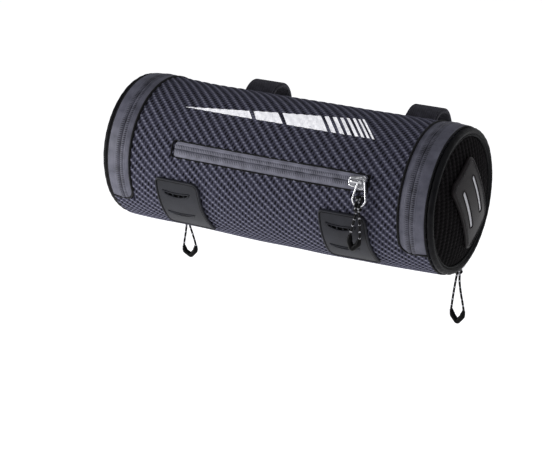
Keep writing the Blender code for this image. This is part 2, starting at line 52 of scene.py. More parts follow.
LEFT_SWELL_START = -0.060
GAP = 0.0003
WALL = 0.0030
BAND_INNER = 0.113
BAND_OUTER = HALF - GAP
BAND_THICKNESS = 0.0018
BAND_FRONT_ANGLE = -28.8
BAND_REAR_ANGLE = 245.0
BAND_CORNER = 0.009
END_ZIP = 0.1215
END_SLIDER_ANGLE = 233.0
RIM_WIDTH = 0.0052
RIM_STEP = 0.0008
RIM_DEPTH = 0.0053
PANEL_INSET = 0.0016
PANEL_CROWN = 0.0072
POCKET_LEFT = -0.077
POCKET_RIGHT = 0.0875
POCKET_LOW = 0.0150
POCKET_HIGH = 0.0273
POCKET_MIDDLE = (POCKET_LOW + POCKET_HIGH) / 2
POCKET_CORNER = 0.0022
POCKET_DEPTH = 0.0019
TAPE_THICKNESS = 0.0011
PATCH_EDGES = (-0.0892, 0.0503)
PATCH_TOP = -0.0018
PATCH_WIDTH = 0.0395
PATCH_HEIGHT = 0.0445
PATCH_THICKNESS = 0.0017
PATCH_FLARE = 0.0024
TAB_THICKNESS = 0.0022
TAB_REACH = 0.0375
TAB_SIDE_REACH = 0.0330
TAB_SLANT = 0.0195
TAB_CENTRE = (0.0020, -0.0009)
TAB_SLOT_CENTRE = (0.0003, 0.0012)
TAB_CORNER = 0.0062
TAB_SLOT_LENGTH = 0.0350
TAB_SLOT_WIDTH = 0.0034
TAB_SLOT_SPACING = 0.0170
TAB_SLOT_TILT = 27.0
BAR_HOLE_RADIUS = 0.0166
STRAP_THICKNESS = 0.0022
STRAP_WIDTH = 0.0260
STRAP_SPACING = 0.1410
STRAP_OFFSET = 0.0045
STRAP_FOOT = 0.0300
HANG = 19.0
SLIDER_THICKNESS = 0.0030
BRIDGE_WINDOW = 0.0030
BRIDGE_END = 0.0053
BRIDGE_POST = 0.0016
POCKET_SLIDER_X = 0.0795
WIRE = 0.0012
WIRE_TOP = 0.0028
WIRE_BOTTOM = 0.0050
WIRE_LENGTH = 0.0195
POCKET_WIRE_LEAN = 15.5
CORD = 0.0018
SLEEVE = 0.0042

# Trims that only this script draws
PIPING_RADIUS = 0.00105
EDGE_SHADE_RADIUS = 0.0007
TAB_LIP_RADIUS = 0.00042
PATCH_LIP_RADIUS = 0.00055
PATCH_GROOVE_SHADE_RADIUS = 0.00028
PATCH_SHADOW_THICKNESS = 0.0005
FILM_THICKNESS = 0.0002
STRIP_THICKNESS = 0.0020
WELL_SHADE_THICKNESS = 0.0004
STUD_RADIUS = 0.0006
SEAM_TAPE_WIDTH = 0.0044
SEAM_TAPE_THICKNESS = 0.0009
SEAM_ANGLE = -120.0
STRAP_TAIL_THICKNESS = 0.0013
DRAWN_WIRE_RADIUS = WIRE * 0.6

SIDES = ((-1, "left"), (1, "right"))
RECTANGLE = ((-1, -1), (1, -1), (1, 1), (-1, 1))

HANG_DISTANCE = END_RADIUS + BELLY + GAP + STRAP_THICKNESS + BAR_HOLE_RADIUS
BAR = Vector((0.0, math.cos(math.radians(HANG)), math.sin(math.radians(HANG)))) * HANG_DISTANCE
BAG_CENTRE = Vector((-STRAP_OFFSET, 0.0, 0.0)) - BAR

# Routes of the pull cords below their knots, across the bag and down
POCKET_ROUTE = (
    (-0.0013, -0.0040), (-0.0024, -0.0085), (-0.0038, -0.0140), (-0.0052, -0.0200),
    (-0.0062, -0.0262), (-0.0062, -0.0304), (-0.0040, -0.0323), (-0.0012, -0.0300),
    (0.0014, -0.0272), (0.0018, -0.0225), (0.0016, -0.0150), (0.0012, -0.0085),
    (0.0009, -0.0040))
RIGHT_ROUTE = (
    (-0.0013, -0.0040), (-0.0022, -0.0100), (-0.0034, -0.0190), (-0.0044, -0.0280),
    (-0.0048, -0.0350), (-0.0026, -0.0400), (0.0003, -0.0426), (0.0032, -0.0400),
    (0.0054, -0.0350), (0.0044, -0.0280), (0.0024, -0.0190), (0.0010, -0.0100),
    (0.0009, -0.0040))
LEFT_ROUTE = (
    (-0.0011, -0.0040), (-0.0012, -0.0100), (-0.0024, -0.0180), (-0.0038, -0.0260),
    (-0.0038, -0.0312), (-0.0008, -0.0336), (0.0032, -0.0346), (0.0062, -0.0318),
    (0.0078, -0.0276), (0.0066, -0.0220), (0.0042, -0.0150), (0.0020, -0.0090),
    (0.0011, -0.0040))

# The knit's repeat in millimetres, along a rib and up to the next one. Ribs
# run down to the right at 41 degrees.
RIB_STEP = (2.175, -1.90)
NEXT_RIB = (1.325, 5.70)
REPEAT = RIB_STEP[0] * NEXT_RIB[1] - RIB_STEP[1] * NEXT_RIB[0]
ALONG_RIB = Vector((NEXT_RIB[1], -NEXT_RIB[0])) / REPEAT
ACROSS_RIBS = Vector((-RIB_STEP[1], RIB_STEP[0])) / REPEAT
PEARL_PHASE = 0.055
RIB_PHASE = 0.194
RIB_RELIEF = 0.00040

# Half-widths of a covered zip's groove, its two rows of teeth and its ridge, mm
ZIP_GROOVE = 0.45
ZIP_TEETH = (0.8, 3.3)
ZIP_RIDGE = 4.2
TOOTH_PITCH = 1.5

# The camera stands in front of the bag's right end, a little above it
CAMERA_AZIMUTH = 29.9956
CAMERA_ELEVATION = 20.9366
CAMERA_DISTANCE = 1.3
CAMERA_AIM = BAG_CENTRE + Vector((-0.00712, -0.02358, -0.04407))
CAMERA_LENS = 114.08
FLOOR_HEIGHT = -0.34
FLOOR_GLOW = 0.77
ROOM_LIGHT = 0.26
# Name, place, aim, size and power. The key light points past the left end, so
# that the right end is darker.
LIGHTS = (("key", (-0.66, -0.52, 0.03), (-0.60, 0.0, -0.02), 0.45, 6.0),
          ("top", (0.40, -0.1, 0.95), (0.0, -0.07, -0.02), 0.9, 2.3),
          ("back", (0.50, 0.95, 0.35), (0.0, -0.07, -0.02), 0.6, 1.8))


# Materials

def linear(code):
    """Linear colour from an sRGB hex value."""
    parts = [int(code[place:place + 2], 16) / 255 for place in (1, 3, 5)]
    return [part / 12.92 if part <= 0.04045 else ((part + 0.055) / 1.055) ** 2.4
            for part in parts] + [1.0]


def add_node(tree, kind, inputs=(), **settings):
    """Adds a node; an input takes a value, a socket or a node's first output."""
    made = tree.nodes.new(kind)
    for name, value in settings.items():
        setattr(made, name, value)
    for key, value in dict(inputs).items():
        if isinstance(value, bpy.types.Node):
            value = value.outputs[0]
        if isinstance(value, bpy.types.NodeSocket):
            tree.links.new(value, made.inputs[key])
        else:
            made.inputs[key].default_value = value
    return made


def start_material(name, **sockets):
    """A Principled material with the shader's own sockets set."""
    made = bpy.data.materials.new(name)
    made.use_nodes = True
    shader = made.node_tree.nodes["Principled BSDF"]
    for key, value in sockets.items():
        shader.inputs[key.replace("_", " ")].default_value = value
    return made, made.node_tree


def finish_surface(tree, tone, stops, height, distance, strength=0.7):
    """Colours the tone by stops of place and sRGB hex, and raises the height."""
    shader = tree.nodes["Principled BSDF"]
    ramp = add_node(tree, "ShaderNodeValToRGB", {"Fac": tone})
    row = ramp.color_ramp.elements
    row[0].position, row[0].color = stops[0][0], linear(stops[0][1])
    row[1].position, row[1].color = stops[-1][0], linear(stops[-1][1])
    for place, code in stops[1:-1]:
        row.new(place).color = linear(code)
    raised = add_node(tree, "ShaderNodeBump", {"Strength": strength, "Distance": distance,
                                               "Height": height})
    tree.links.new(ramp.outputs[0], shader.inputs["Base Color"])
    tree.links.new(raised.outputs[0], shader.inputs["Normal"])
    return shader, ramp


def plain_weave(tree, parts, spacings):
    """Waves along and across the cloth, multiplied; one thread of the given
    spacing in millimetres is half a wave."""
    waves = []
    for axis, spacing in enumerate(spacings):
        turn = add_node(tree, "ShaderNodeMath", {0: parts.outputs[axis], 1: math.pi / spacing},
                        operation="MULTIPLY")
        waves.append(add_node(tree, "ShaderNodeMath", {0: turn}, operation="SINE"))
    return add_node(tree, "ShaderNodeMath", {0: waves[0], 1: waves[1]}, operation="MULTIPLY")


def knitted_polyester(name, stops, **sockets):
    """Spacer knit of matt polyester: the eye sees ribs of small round pearls,
    eyelets in the valleys and fine slanted yarn loops between them. Pearls,
    rib crests and loops are painted lighter as painted highlight, the eyelets
    darker as painted shade."""
    made, tree = start_material(name, Roughness=0.8, **sockets)
    # The map counts the knit's repeats, u along a rib and v from rib to rib
    repeats = add_node(tree, "ShaderNodeUVMap", uv_map="repeats")
    place = add_node(tree, "ShaderNodeTexCoord").outputs["Object"]
    # The yarn's tension wanders over about 14 mm
    wander = add_node(tree, "ShaderNodeTexNoise", {"Vector": place, "Scale": 1000 / 14, "Detail": 1.0})
    shift = add_node(tree, "ShaderNodeVectorMath", {0: wander.outputs["Color"], 1: (0.22, 0.10, 0.0),
                                                    2: (-0.11, -0.05, 0.0)}, operation="MULTIPLY_ADD")
    cloth = add_node(tree, "ShaderNodeVectorMath", {0: repeats, 1: shift}, operation="ADD")

    def spot(centre, width, height, lean):
        """One at the spot's middle, none outside it; sizes in millimetres."""
        moved = add_node(tree, "ShaderNodeVectorMath", {0: cloth, 1: (-centre[0], -centre[1], 0.0)},
                         operation="ADD")
        cell = add_node(tree, "ShaderNodeVectorMath", {0: moved, 1: (0.5, 0.5, 0.5),
                                                       2: (-0.5, -0.5, -0.5)}, operation="WRAP")
        parts = add_node(tree, "ShaderNodeSeparateXYZ", {0: cell})
        steps = [((step[0] - lean * step[1]) * 2 / width, step[1] * 2 / height, 0.0)
                 for step in (RIB_STEP, NEXT_RIB)]
        first = add_node(tree, "ShaderNodeVectorMath", {0: parts.outputs[0], 1: steps[0]},
                         operation="MULTIPLY")
        both = add_node(tree, "ShaderNodeVectorMath", {0: parts.outputs[1], 1: steps[1], 2: first},
                        operation="MULTIPLY_ADD")
        away = add_node(tree, "ShaderNodeVectorMath", {0: both}, operation="LENGTH").outputs["Value"]
        return add_node(tree, "ShaderNodeMapRange", {"Value": away, "From Min": 1.35, "From Max": 0.45},
                        interpolation_type="SMOOTHSTEP")

    pearls = spot((0.0, 0.0), 2.1, 1.35, 0.0)
    eyelets = spot((0.0, 0.47), 1.65, 3.0, 0.22)
    parts = add_node(tree, "ShaderNodeSeparateXYZ", {0: cloth})
    rib_turn = add_node(tree, "ShaderNodeMath", {0: parts.outputs[1], 1: 2 * math.pi},
                        operation="MULTIPLY")
    rib = add_node(tree, "ShaderNodeMath", {0: rib_turn}, operation="COSINE")
    # Two yarn loops to a pearl, slanted over the valley
    loop_turn = add_node(tree, "ShaderNodeVectorMath", {0: cloth, 1: (4 * math.pi, 2 * math.pi, 0.0)},
                         operation="DOT_PRODUCT").outputs["Value"]
    loops = add_node(tree, "ShaderNodeMath", {0: loop_turn}, operation="SINE")
    # Single yarns of about 0.25 mm, drawn at 0.5 mm so that they show
    yarn = add_node(tree, "ShaderNodeTexNoise", {"Vector": place, "Scale": 1000 / 0.5, "Detail": 2.0})
    # Some eyelets are filled by loose yarn, in spots of about 4 mm, and get less painted shade
    filled = add_node(tree, "ShaderNodeTexNoise", {"Vector": place, "Scale": 1000 / 4, "Detail": 0.0})
    depth = add_node(tree, "ShaderNodeMapRange", {"Value": filled, "From Min": 0.35, "From Max": 0.6,
                                                  "To Min": 0.45, "To Max": 1.0})
    holes = add_node(tree, "ShaderNodeMath", {0: eyelets, 1: depth}, operation="MULTIPLY")
    # Painted light in the tone: highlight on pearls, rib crests and loops, shade in the eyelets; the
    # yarn noise is the knit's own random tone
    tone = 0.13
    for pattern, share in ((rib, 0.03), (loops, 0.045), (pearls, 0.36), (yarn, 0.5)):
        tone = add_node(tree, "ShaderNodeMath", {0: pattern, 1: share, 2: tone},
                        operation="MULTIPLY_ADD")
    open_share = add_node(tree, "ShaderNodeMath", {0: holes, 1: -0.95, 2: 1.0},
                          operation="MULTIPLY_ADD")
    tone = add_node(tree, "ShaderNodeMath", {0: tone, 1: open_share}, operation="MULTIPLY")
    height = 0.0
    for pattern, rise in ((pearls, 0.45), (loops, 0.08), (yarn, 0.22), (holes, -0.8)):
        height = add_node(tree, "ShaderNodeMath", {0: pattern, 1: rise, 2: height},
                          operation="MULTIPLY_ADD")
    finish_surface(tree, tone, stops, height, distance=0.0009, strength=0.9)
    return made


def coated_polyester(name, shadow, base, worn_and_highlight, shine, zip_axis=None, zip_line=0.0):
    """Coated woven polyester, softly satin and a little mottled; along a zip
    the coil under it shows as two rows of fine teeth beside a groove, in bump
    and in painted shade, with a painted highlight along the ridge outside them."""
    made, tree = start_material(name, Roughness=0.5, Specular_IOR_Level=shine)
    cloth = add_node(tree, "ShaderNodeUVMap", uv_map="cloth")
    parts = add_node(tree, "ShaderNodeSeparateXYZ", {0: cloth})
    # Threads of the woven base, 0.25 mm apart, hardly seen through the coating
    weave = plain_weave(tree, parts, (0.25, 0.25))
    cloudy = add_node(tree, "ShaderNodeTexNoise", {"Vector": cloth, "Scale": 1 / 8.0, "Detail": 3.0})
    tone = add_node(tree, "ShaderNodeMath", {0: weave, 1: 0.05, 2: cloudy}, operation="MULTIPLY_ADD")
    height = add_node(tree, "ShaderNodeMath", {0: weave, 1: 0.10}, operation="MULTIPLY")
    if zip_axis is not None:
        run = parts.outputs[1 - zip_axis]
        across = parts.outputs[zip_axis]
        if zip_axis == 0:
            across = add_node(tree, "ShaderNodeMath", {0: across}, operation="ABSOLUTE")
        across = add_node(tree, "ShaderNodeMath", {0: across, 1: zip_line}, operation="SUBTRACT")
        away = add_node(tree, "ShaderNodeMath", {0: across}, operation="ABSOLUTE")
        # The two rows' teeth interlock, so one row is half a tooth behind
        row_side = add_node(tree, "ShaderNodeMath", {0: across}, operation="SIGN")
        turn = add_node(tree, "ShaderNodeMath", {0: row_side, 1: math.pi / 2}, operation="MULTIPLY")
        turn = add_node(tree, "ShaderNodeMath", {0: run, 1: 2 * math.pi / TOOTH_PITCH, 2: turn},
                        operation="MULTIPLY_ADD")
        tooth = add_node(tree, "ShaderNodeMath", {0: turn}, operation="SINE")
        notch = add_node(tree, "ShaderNodeMapRange", {"Value": tooth, "From Min": -0.1, "From Max": 0.9})
        off_ridge = add_node(tree, "ShaderNodeMath", {0: away, 1: ZIP_RIDGE}, operation="SUBTRACT")
        off_ridge = add_node(tree, "ShaderNodeMath", {0: off_ridge}, operation="ABSOLUTE")
        # Each is none at its first distance and full at its second, in millimetres
        inner, outer, groove, ridge = [
            add_node(tree, "ShaderNodeMapRange", {"Value": distance, "From Min": none, "From Max": full})
            for distance, none, full in ((away, ZIP_TEETH[0] - 0.2, ZIP_TEETH[0] + 0.2),
                                         (away, ZIP_TEETH[1] + 0.3, ZIP_TEETH[1] - 0.3),
                                         (away, ZIP_GROOVE + 0.2, ZIP_GROOVE - 0.2),
                                         (off_ridge, 0.6, 0.1))]
        rows = add_node(tree, "ShaderNodeMath", {0: inner, 1: outer}, operation="MULTIPLY")
        notches = add_node(tree, "ShaderNodeMath", {0: rows, 1: notch}, operation="MULTIPLY")
        # Painted shade darkens the notches between teeth and the groove, a painted highlight lightens
        # the ridge; each also has its bump
        for pattern, share, rise in ((notches, -0.46, -0.9), (groove, -0.36, -1.2), (ridge, 0.06, 0.6)):
            tone = add_node(tree, "ShaderNodeMath", {0: pattern, 1: share, 2: tone},
                            operation="MULTIPLY_ADD")
            height = add_node(tree, "ShaderNodeMath", {0: pattern, 1: rise, 2: height},
                              operation="MULTIPLY_ADD")
    # The dark stop holds the painted shade of teeth and groove, the light stop the paler mottling and
    # the ridge's painted highlight
    stops = ((0.0, shadow), (0.38, base), (0.70, worn_and_highlight))
    finish_surface(tree, tone, stops, height, distance=0.00025, strength=0.8)
    return made


def moulded(name, base, light, grit, roughness, bump, **sockets):
    """Moulded rubber or PVC, matt, with the fine spark-eroded grain of its
    mould in millimetres and faint clouds from handling."""
    made, tree = start_material(name, Roughness=roughness, **sockets)
    place = add_node(tree, "ShaderNodeTexCoord").outputs["Object"]
    grain = add_node(tree, "ShaderNodeTexNoise", {"Vector": place, "Scale": 1000 / grit, "Detail": 3.0})
    cloudy = add_node(tree, "ShaderNodeTexNoise", {"Vector": place, "Scale": 1000 / 11, "Detail": 2.0})
    tone = add_node(tree, "ShaderNodeMath", {0: grain, 1: cloudy}, operation="ADD")
    tone = add_node(tree, "ShaderNodeMath", {0: tone, 1: 0.5}, operation="MULTIPLY")
    finish_surface(tree, tone, ((0.35, base), (0.65, light)), grain, bump, strength=0.6)
    return made


def woven(name, dark, light, pitch):
    """Woven polyester: matt, a plain weave of the given thread pitch in mm."""
    made, tree = start_material(name, Roughness=0.75, Specular_IOR_Level=0.15, Sheen_Weight=0.04)
    cloth = add_node(tree, "ShaderNodeUVMap", uv_map="cloth")
    parts = add_node(tree, "ShaderNodeSeparateXYZ", {0: cloth})
    weave = plain_weave(tree, parts, (pitch, pitch * 1.3))
    cloudy = add_node(tree, "ShaderNodeTexNoise", {"Vector": cloth, "Scale": 1 / 5.0, "Detail": 3.0})
    tone = add_node(tree, "ShaderNodeMath", {0: weave, 1: 0.28, 2: cloudy}, operation="MULTIPLY_ADD")
    finish_surface(tree, tone, ((0.2, dark), (0.85, light)), weave, distance=0.0003)
    return made


def twisted_thread(name, dark, light):
    """Bonded polyester sewing thread: a dull shine on each short stitch."""
    made, tree = start_material(name, Roughness=0.55, Specular_IOR_Level=0.3)
    place = add_node(tree, "ShaderNodeTexCoord").outputs["Object"]
    # Plies of about 0.2 mm, drawn at 0.4 mm so that they show
    plies = add_node(tree, "ShaderNodeTexNoise", {"Vector": place, "Scale": 1000 / 0.4, "Detail": 1.0})
    finish_surface(tree, plies, ((0.3, dark), (0.7, light)), plies, distance=0.0001)
    return made


def reflective_film(name, base, light, painted_glow):
    """Reflective film pressed on with heat: satin, with a grain of fine glass
    beads. The light they send back is a painted glow: the film emits its own
    mottled colour, so that it outshines plain white."""
    made, tree = start_material(name, Roughness=0.42, Specular_IOR_Level=0.6, Emission_Strength=painted_glow)
    place = add_node(tree, "ShaderNodeTexCoord").outputs["Object"]
    # Beads are 0.05 mm; the cloth's yarns under the film show as 0.9 mm mottling
    beads = add_node(tree, "ShaderNodeTexNoise", {"Vector": place, "Scale": 1000 / 0.9, "Detail": 2.0})
    shader, ramp = finish_surface(tree, beads, ((0.38, base), (0.56, light)), beads,
                                  distance=0.0001, strength=0.3)
    # Painted glow: the film's colour is emitted as well as reflected
    tree.links.new(ramp.outputs[0], shader.inputs["Emission Color"])
    return made


def plated_metal(name, base, light, roughness, ripple_size, bump):
    """Nickel plate over cast zinc or drawn wire, tumbled: bright, with soft
    ripples of the given size in millimetres."""
    made, tree = start_material(name, Metallic=1.0)
    place = add_node(tree, "ShaderNodeTexCoord").outputs["Object"]
    ripple = add_node(tree, "ShaderNodeTexNoise", {"Vector": place, "Scale": 1000 / ripple_size,
                                                   "Detail": 3.0})
    rough = add_node(tree, "ShaderNodeMapRange", {"Value": ripple, "To Min": roughness * 0.7,
                                                  "To Max": roughness * 1.5})
    tree.links.new(rough.outputs[0], tree.nodes["Principled BSDF"].inputs["Roughness"])
    finish_surface(tree, ripple, ((0.2, base), (0.8, light)), ripple, bump, strength=0.3)
    return made


def braided_cord(name, yarn, tracer):
    """Braided polyester cord with a light tracer yarn: matt black plaits of
    about 1 mm, and a short pale fleck every 5 mm."""
    made, tree = start_material(name, Roughness=0.75, Specular_IOR_Level=0.2, Sheen_Weight=0.04)
    cloth = add_node(tree, "ShaderNodeUVMap", uv_map="cloth")
    parts = add_node(tree, "ShaderNodeSeparateXYZ", {0: cloth})
    turn, run = parts.outputs[0], parts.outputs[1]
    plaits = []
    for slant in (-1, 1):
        across = add_node(tree, "ShaderNodeMath", {0: turn, 1: slant * 6 * math.pi},
                          operation="MULTIPLY")
        angle = add_node(tree, "ShaderNodeMath", {0: run, 1: math.pi, 2: across},
                         operation="MULTIPLY_ADD")
        plaits.append(add_node(tree, "ShaderNodeMath", {0: angle}, operation="SINE"))
    plait = add_node(tree, "ShaderNodeMath", {0: plaits[0], 1: plaits[1]}, operation="MAXIMUM")
    angle = add_node(tree, "ShaderNodeMath", {0: run, 1: 2 * math.pi / 5.0}, operation="MULTIPLY")
    lead = add_node(tree, "ShaderNodeMath", {0: angle}, operation="SINE")
    fleck = add_node(tree, "ShaderNodeMath", {0: plait, 1: 0.2, 2: lead}, operation="MULTIPLY_ADD")
    # The tracer sinks between the plaits in places, over about 12 mm
    sunk = add_node(tree, "ShaderNodeTexNoise", {"Vector": cloth, "Scale": 1 / 12, "Detail": 1.0})
    fleck = add_node(tree, "ShaderNodeMath", {0: sunk, 1: 0.5, 2: fleck}, operation="MULTIPLY_ADD")
    fleck = add_node(tree, "ShaderNodeMath", {0: fleck, 1: 0.25}, operation="SUBTRACT")
    stops = ((0.0, yarn), (0.97, yarn), (1.03, tracer))
    finish_surface(tree, fleck, stops, plait, distance=0.00025, strength=0.8)
    return made


KNIT = knitted_polyester("knitted_polyester", ((0.0, "#0c0c14"), (0.22, "#252531"), (0.42, "#49495a"),
                                               (0.85, "#858596")),
                         Specular_IOR_Level=0.12, Sheen_Weight=0.03, Sheen_Roughness=0.5)
# The same knit painted darker for the end panels: painted shade
END_KNIT_PAINTED_SHADE = knitted_polyester("knitted_polyester_ends_painted_shade", ((0.0, "#020202"), (0.22, "#060506"),
                                                        (0.42, "#0f0d0e"), (0.85, "#1e1b1e")),
                             Specular_IOR_Level=0.04)
BAND_CLOTH = coated_polyester("coated_polyester_band", "#14141c", "#4f4f5b", "#60606d", shine=0.25,
                              zip_axis=0, zip_line=END_ZIP * 1000)
POCKET_CLOTH = coated_polyester("coated_polyester_zip_tape", "#20202a", "#666673", "#7d7d8b", shine=0.3,
                                zip_axis=1, zip_line=POCKET_MIDDLE * 1000)
RIM_CLOTH = coated_polyester("coated_polyester_rim", "#060607", "#0e0e10", "#17171a", shine=0.07)
# Black woven piping; the same black is painted shade in the pocket's recess and along its edge
PIPING_CLOTH_AND_SHADE = woven("woven_polyester_piping_and_painted_shade", "#050507", "#131316", pitch=0.4)
WEBBING = woven("woven_polyester_webbing", "#25242a", "#42414b", pitch=0.8)
RUBBER = moulded("moulded_rubber", "#1b1c21", "#27282f", grit=0.5, roughness=0.5, bump=0.00010,
                 Specular_IOR_Level=0.2)
# A darker copy of the rubber for the lash tab: its brownish hue is its own, its darkness is painted
# shade
TAB_RUBBER_PAINTED_SHADE = moulded("moulded_rubber_tab_painted_shade", "#141113", "#1f1b1d", grit=0.5, roughness=0.5, bump=0.00010,
                     Specular_IOR_Level=0.12)
# Black PVC of the cord ends; the same black is painted shadow round the patches and painted shade in
# their slots
PLASTIC_AND_SHADOW = moulded("moulded_pvc_cord_end_and_painted_shadow", "#030303", "#080809", grit=0.6, roughness=0.45, bump=0.00008,
                  Specular_IOR_Level=0.08)
# The films' glow values are painted glow, strongest on the white print
FILM = reflective_film("reflective_film", "#c2c2c9", "#f8f8fb", painted_glow=0.45)
STRIP_FILM = reflective_film("reflective_film_grey", "#8f8f95", "#b4b4ba", painted_glow=0.08)
SLIDER_METAL = plated_metal("cast_zinc_nickel_plated", "#a8a8ad", "#f4f4f6", roughness=0.16,
                            ripple_size=3.0, bump=0.00020)
WIRE_METAL = plated_metal("drawn_steel_wire_nickel_plated", "#c8c8cc", "#ececee", roughness=0.16,
                          ripple_size=6.0, bump=0.00005)
CORD_CLOTH = braided_cord("braided_polyester_cord", "#070708", "#b4b4ba")
THREAD = twisted_thread("bonded_polyester_thread", "#17171a", "#3d3d43")


# Shapes

def ease(value, low, high):
    share = min(1.0, max(0.0, (value - low) / (high - low)))
    return share * share * (3 - 2 * share)


def tapered(share, reach):
    """One along the middle, eased to none over the reach at both ends."""
    return ease(min(share, 1 - share), 0.0, reach)


def bag_radius(x):
    """Outside radius of the tube: full in the middle and at its left end."""
    swell = LEFT_SWELL * ease(-x, -LEFT_SWELL_START, HALF)
    return END_RADIUS + BELLY * (1.0 - (x / HALF) ** 2) + swell


def axis_height(x):
    """Height of the tube's sagging axis over its middle."""
    return END_LIFT * (x / HALF) ** 2


def rim_radius(side):
    return bag_radius(side * HALF) - RIM_STEP


def rim_hole(side):
    return rim_radius(side) - RIM_DEPTH


def on_bag(x, arc, height):
    """A point of the flat pattern, wrapped on the tube, in the bag's frame."""
    angle = arc / END_RADIUS
    radius = bag_radius(x) + height
    return Vector((x, -radius * math.cos(angle), axis_height(x) + radius * math.sin(angle)))


def arc_of(angle):
    return math.radians(angle) * END_RADIUS


def rib_relief(x, arc):
    """Height of the knit's ribs over its mean surface."""
    across = 1000 * ACROSS_RIBS.dot(Vector((x, arc))) + RIB_PHASE
    return RIB_RELIEF * math.cos(2 * math.pi * across)


def fillet(corners, radii, steps=8):
    """Outline through the corners, each rounded by its own radius."""
    points = []
    count = len(corners)
    for index, corner in enumerate(corners):
        here = Vector(corner)
        to_last = (Vector(corners[index - 1]) - here).normalized()
        to_next = (Vector(corners[(index + 1) % count]) - here).normalized()
        radius = radii[index]
        if radius <= 0.0:
            points.append(here)
            continue
        half = to_last.angle(to_next) / 2
        centre = here + (to_last + to_next).normalized() * (radius / math.sin(half))
        start = here + to_last * (radius / math.tan(half)) - centre
        finish = here + to_next * (radius / math.tan(half)) - centre
        sweep = start.angle_signed(finish)
        for step in range(steps + 1):
            turned = start.copy()
            turned.rotate(Matrix.Rotation(-sweep * step / steps, 2))
            points.append(centre + turned)
    return points


def slot_outline(middle, length, width, tilt=0.0, steps=8):
    """A stadium, its long side turned by tilt degrees from the first axis."""
    straight = (length - width) / 2
    points = []
    for end, first in ((1, -90.0), (-1, 90.0)):
        for step in range(steps + 1):
            turn = math.radians(first + 180.0 * step / steps)
            points.append(Vector((end * straight + math.cos(turn) * width / 2,
                                  math.sin(turn) * width / 2)))
    spin = Matrix.Rotation(math.radians(tilt), 2)
    return [Vector(middle) + spin @ point for point in points]


def inset_outline(outline, distance):
    """The outline moved inwards by a distance, for seams and beads."""
    area = sum(a.x * b.y - b.x * a.y for a, b in zip(outline, outline[1:] + outline[:1]))
    inwards = math.copysign(distance, area)
    moved = []
    for index, point in enumerate(outline):
        run = (outline[(index + 1) % len(outline)] - outline[index - 1]).normalized()
        moved.append(point + Vector((-run.y, run.x)) * inwards)
    return moved


def dense(line, spacing, closed=True):
    """The line with points added so that none are further apart than spacing."""
    after = line[1:] + line[:1] if closed else line[1:]
    points = []
    for a, b in zip(line, after):
        parts = max(1, math.ceil((b - a).length / spacing))
        points += [a.lerp(b, step / parts) for step in range(parts)]
    return points if closed else points + [line[-1]]


def laid(outline, spacing, height, closed=True, lay=on_bag):
    """The flat outline in even steps, laid on the tube or the panel."""
    return [lay(point.x, point.y, height) for point in dense(outline, spacing, closed)]


def line_length(line):
    return sum((q - p).length for p, q in zip(line, line[1:]))


def point_on(line, distance):
    for p, q in zip(line, line[1:]):
        stretch = (q - p).length
        if distance <= stretch:
            return p.lerp(q, distance / stretch)
        distance -= stretch
    return line[-1].copy()


def smooth_line(route, spacing, closed=False):
    """Even points on a smooth curve through the route's own points."""
    route = [Vector(point) for point in route]
    if closed:
        ends = [route[-1]] + route + [route[0], route[1]]
    else:
        ends = [route[0] * 2 - route[1]] + route + [route[-1] * 2 - route[-2]]
    fine = []
    for a, b, c, d in zip(ends, ends[1:], ends[2:], ends[3:]):
        for step in range(12):
            t = step / 12
            fine.append(0.5 * (2 * b + (c - a) * t + (2 * a - 5 * b + 4 * c - d) * t * t
                               + (3 * b - a - 3 * c + d) * t ** 3))
    fine.append(route[0] if closed else route[-1])
    length = line_length(fine)
    count = max(3, round(length / spacing))
    line = [point_on(fine, length * step / count) for step in range(count)]
    return line if closed else line + [fine[-1]]


def full_turn(steps):
    return [2 * math.pi * step / steps for step in range(steps)]


def put_in_scene(name, data):
    made = bpy.data.objects.new(name, data)
    bpy.context.scene.collection.objects.link(made)
    return made


def drawn(lines, closed, radius=lambda share: 1.0, **settings):
    """Closed bmesh of a curve through each line's points, with the curve's own
    settings; radius goes by the share of the points passed."""
    curve = bpy.data.curves.new("pattern", "CURVE")
    for key, value in settings.items():
        setattr(curve, key, value)
    for line in lines:
        spline = curve.splines.new("POLY")
        spline.points.add(len(line) - 1)
        spline.use_cyclic_u = closed
        for index, (point, place) in enumerate(zip(spline.points, line)):
            point.co = (*place.to_3d(), 1.0)
            point.radius = radius(index / (len(line) - 1))
    guide = put_in_scene("pattern", curve)
    graph = bpy.context.evaluated_depsgraph_get()
    data = bpy.data.meshes.new_from_object(guide.evaluated_get(graph))
    bm = bmesh.new()
    bm.from_mesh(data)
    bpy.data.objects.remove(guide, do_unlink=True)
    bpy.data.curves.remove(curve)
    bpy.data.meshes.remove(data)
    bmesh.ops.remove_doubles(bm, verts=bm.verts[:], dist=2e-6)
    return bm


def joined(parts):
    """One bmesh of several."""
    whole = bmesh.new()
    for part in parts:
        data = bpy.data.meshes.new("part")
        part.to_mesh(data)
        part.free()
        whole.from_mesh(data)
        bpy.data.meshes.remove(data)
    return whole


def tube(lines, radius, sides=10, closed=False):
    """Round tubes along lines; radius may be a function of the share of the
    length. Their UV map holds turns and millimetres of length."""
    parts = []
    for line in lines:
        bm = drawn([line], closed, radius if callable(radius) else lambda share: radius,
                   dimensions="3D", bevel_depth=1.0, bevel_resolution=sides // 2 - 2,
                   use_fill_caps=not closed)
        shares = bm.loops.layers.uv["UVMap"]
        cloth = bm.loops.layers.uv.new("cloth")
        length = 1000 * line_length(line)
        for face in bm.faces:
            for loop in face.loops:
                loop[cloth].uv = (loop[shares].uv.y, loop[shares].uv.x * length)
        bm.loops.layers.uv.remove(shares)
        parts.append(bm)
    return joined(parts)


